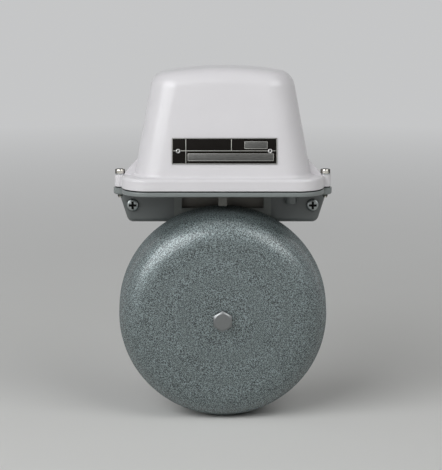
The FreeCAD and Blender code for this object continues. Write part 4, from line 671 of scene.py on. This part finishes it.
# Nameplate: black ground, silver rules and two brushed fields, all without words
def nameplate():
    """The plate with its marks, and its two rivets, each with a dimple."""
    low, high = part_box("nameplate")
    across = Vector((1, 0, 0))
    up = Vector((0, math.sin(FRONT_LEAN), math.cos(FRONT_LEAN)))
    out = across.cross(up)
    centre = (low + high) / 2
    width = high.x - low.x
    thick = PLATE_THICKNESS
    height = (high.z - low.z - thick * math.sin(FRONT_LEAN)) / math.cos(FRONT_LEAN)
    mesh = bmesh.new()
    slab(mesh, centre, (width, height, thick), across, up, 0, PLATE_EDGE)

    def mark(x, y, wide, tall, material, lift=RULE_HEIGHT):
        """A raised mark; places and sizes are in millimetres from the plate's centre."""
        spot = centre + across * x * MM + up * y * MM + out * (thick / 2 + lift / 2 - MARK_SINK)
        slab(mesh, spot, (wide * MM, tall * MM, lift + 2 * MARK_SINK), across, up, material, 0.03 * MM)

    def border(x, y, wide, tall, line):
        """Four thin marks round a rectangle."""
        for side in (-1, 1):
            mark(x + side * (wide - line) / 2, y, line, tall, 1)
            mark(x, y + side * (tall - line) / 2, wide - 2 * line, line, 1)

    rule = RULE_WIDTH / MM
    border(0, 0, width / MM - BORDER_MARGIN, height / MM - BORDER_MARGIN, BORDER_LINE)
    x, y, tall = LEFT_RULE
    mark(x, y, rule, tall, 1)
    x, y, wide = LONG_RULE
    mark(x, y, wide, rule, 1)
    x, y, tall = SHORT_RULE
    mark(x, y, rule, tall, 1)
    for x, y, wide, tall in FIELD_PLACES:
        mark(x, y, wide - 0.5, tall - 0.5, 2, FIELD_HEIGHT)
        border(x, y, wide, tall, FIELD_LINE)
    plate = mesh_object("nameplate_face", mesh, FINISHES["plate_black"], RULE, FIELD)
    fit(plate, "hood_unit", "plate_black", "nameplate")
    low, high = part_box("nameplate_rivets")
    turn = Matrix.Rotation(math.radians(90) - FRONT_LEAN, 4, "X")
    rivet = bmesh.new()
    dimple = [(0, 0.3 * MM), (0.55 * MM, 0.32 * MM), (0.75 * MM, 0.8 * MM)]
    head = [(1.05 * MM, 0.9 * MM), (1.45 * MM, 0.72 * MM), (1.72 * MM, 0.3 * MM), (RIVET_RADIUS, 0)]
    shank = [(RIVET_SHANK, 0), (RIVET_SHANK, -RIVET_LENGTH), (0, -RIVET_LENGTH)]
    lathe(rivet, dimple + head + shank, 48)
    face = centre + out * thick / 2
    seats = [face + across * (x - centre.x) for x in (low.x + RIVET_RADIUS, high.x - RIVET_RADIUS)]
    # Faces in the dimple take the second material, which is painted shade
    for side in rivet.faces:
        spot = side.calc_center_median()
        if math.hypot(spot.x, spot.y) < 0.7 * MM and spot.z > 0.2 * MM:
            side.material_index = 1
    pair = copies(rivet, [Matrix.Translation(seat) @ turn for seat in seats])
    fit(mesh_object("rivets_dimpled", pair, FINISHES["aluminium"], RECESS), "hood_unit", "aluminium",
        "nameplate_rivets")


# Stage, light and camera
def floor():
    """A pale floor that keeps the shadow near the bell and fades into the sky's colour further off."""
    mesh = bmesh.new()
    bmesh.ops.create_circle(mesh, cap_ends=True, segments=96, radius=FLOOR_RADIUS,
                            matrix=Matrix.Translation((0, 0, GONG_LOW - FLOOR_GAP)))
    paint = Paint("pale floor", Roughness=0.9, Specular_IOR_Level=0.1)
    cloud = paint.noise(0.25, 3)
    paint.feed(Base_Color=paint.mix(cloud, (0.70, 0.70, 0.68), (0.74, 0.74, 0.72)))
    away = paint.node("ShaderNodeVectorMath", {"operation": "LENGTH"}, {0: paint.place()}, output="Value")
    glow = paint.node("ShaderNodeEmission", {}, {"Color": SKY})
    skin = Value(paint, paint.shader.outputs[0])
    fade = paint.step(away, *FLOOR_FADE) * paint.looking()
    both = paint.node("ShaderNodeMixShader", {}, {0: fade, 1: skin, 2: glow})
    paint.set(paint.tree.nodes["Material Output"], {"Surface": both})
    mesh_object("floor", mesh, paint.material)


def softbox(name, turn, rise, reach, size, power, tint=(1, 1, 1)):
    """A rectangular lamp, turned from the front towards +X and raised, aimed at the bell's middle."""
    turn, rise = math.radians(turn), math.radians(rise)
    away = Vector((math.sin(turn) * math.cos(rise), -math.cos(turn) * math.cos(rise), math.sin(rise)))
    light = bpy.data.lights.new(name, "AREA")
    light.shape = "RECTANGLE"
    light.size, light.size_y = size
    light.energy = power
    light.color = tint
    lamp = bpy.data.objects.new(name, light)
    lamp.location = LIGHT_AIM + away * reach
    lamp.rotation_euler = (-away).to_track_quat("-Z", "Y").to_euler()
    lamp.visible_camera = False
    bpy.context.scene.collection.objects.link(lamp)


def lights():
    """Three lamps, and a sky that lights the bell less than it shows in the background."""
    softbox("key", turn=-43, rise=32, reach=2.2, size=(2.0, 1.4), power=36.0, tint=(0.975, 0.985, 1.0))
    softbox("fill", turn=46, rise=40, reach=2.2, size=(1.5, 1.2), power=14.0)
    softbox("top", turn=0, rise=84, reach=1.2, size=(0.9, 0.6), power=0.5)
    world = bpy.data.worlds.new("studio")
    bpy.context.scene.world = world
    world.use_nodes = True
    sky = Tree(world.node_tree)
    strength = sky.step(sky.looking(), 0, 1, AMBIENT, 1)
    sky.set(sky.tree.nodes["Background"], {"Color": SKY, "Strength": strength})


def camera():
    """A long lens, so that the bell is seen with as little perspective as in the photo."""
    data = bpy.data.cameras.new("camera")
    data.sensor_fit = "VERTICAL"
    data.sensor_height = FRAME_HEIGHT
    data.lens = LENS
    data.clip_end = 20.0
    look = Vector((0, math.cos(CAMERA_PITCH), -math.sin(CAMERA_PITCH)))
    viewer = bpy.data.objects.new("camera", data)
    viewer.location = CAMERA_AIM - look * CAMERA_REACH
    viewer.rotation_euler = look.to_track_quat("-Z", "Y").to_euler()
    bpy.context.scene.collection.objects.link(viewer)
    bpy.context.scene.camera = viewer


camera()
finish_nodes()
visible_screws()
gong_fixings()
taped_windings()
foot_cove()
nameplate()
floor()
lights()
bpy.context.scene.view_settings.view_transform = "Standard"


def corners(box):
    return [list(corner) for corner in box]
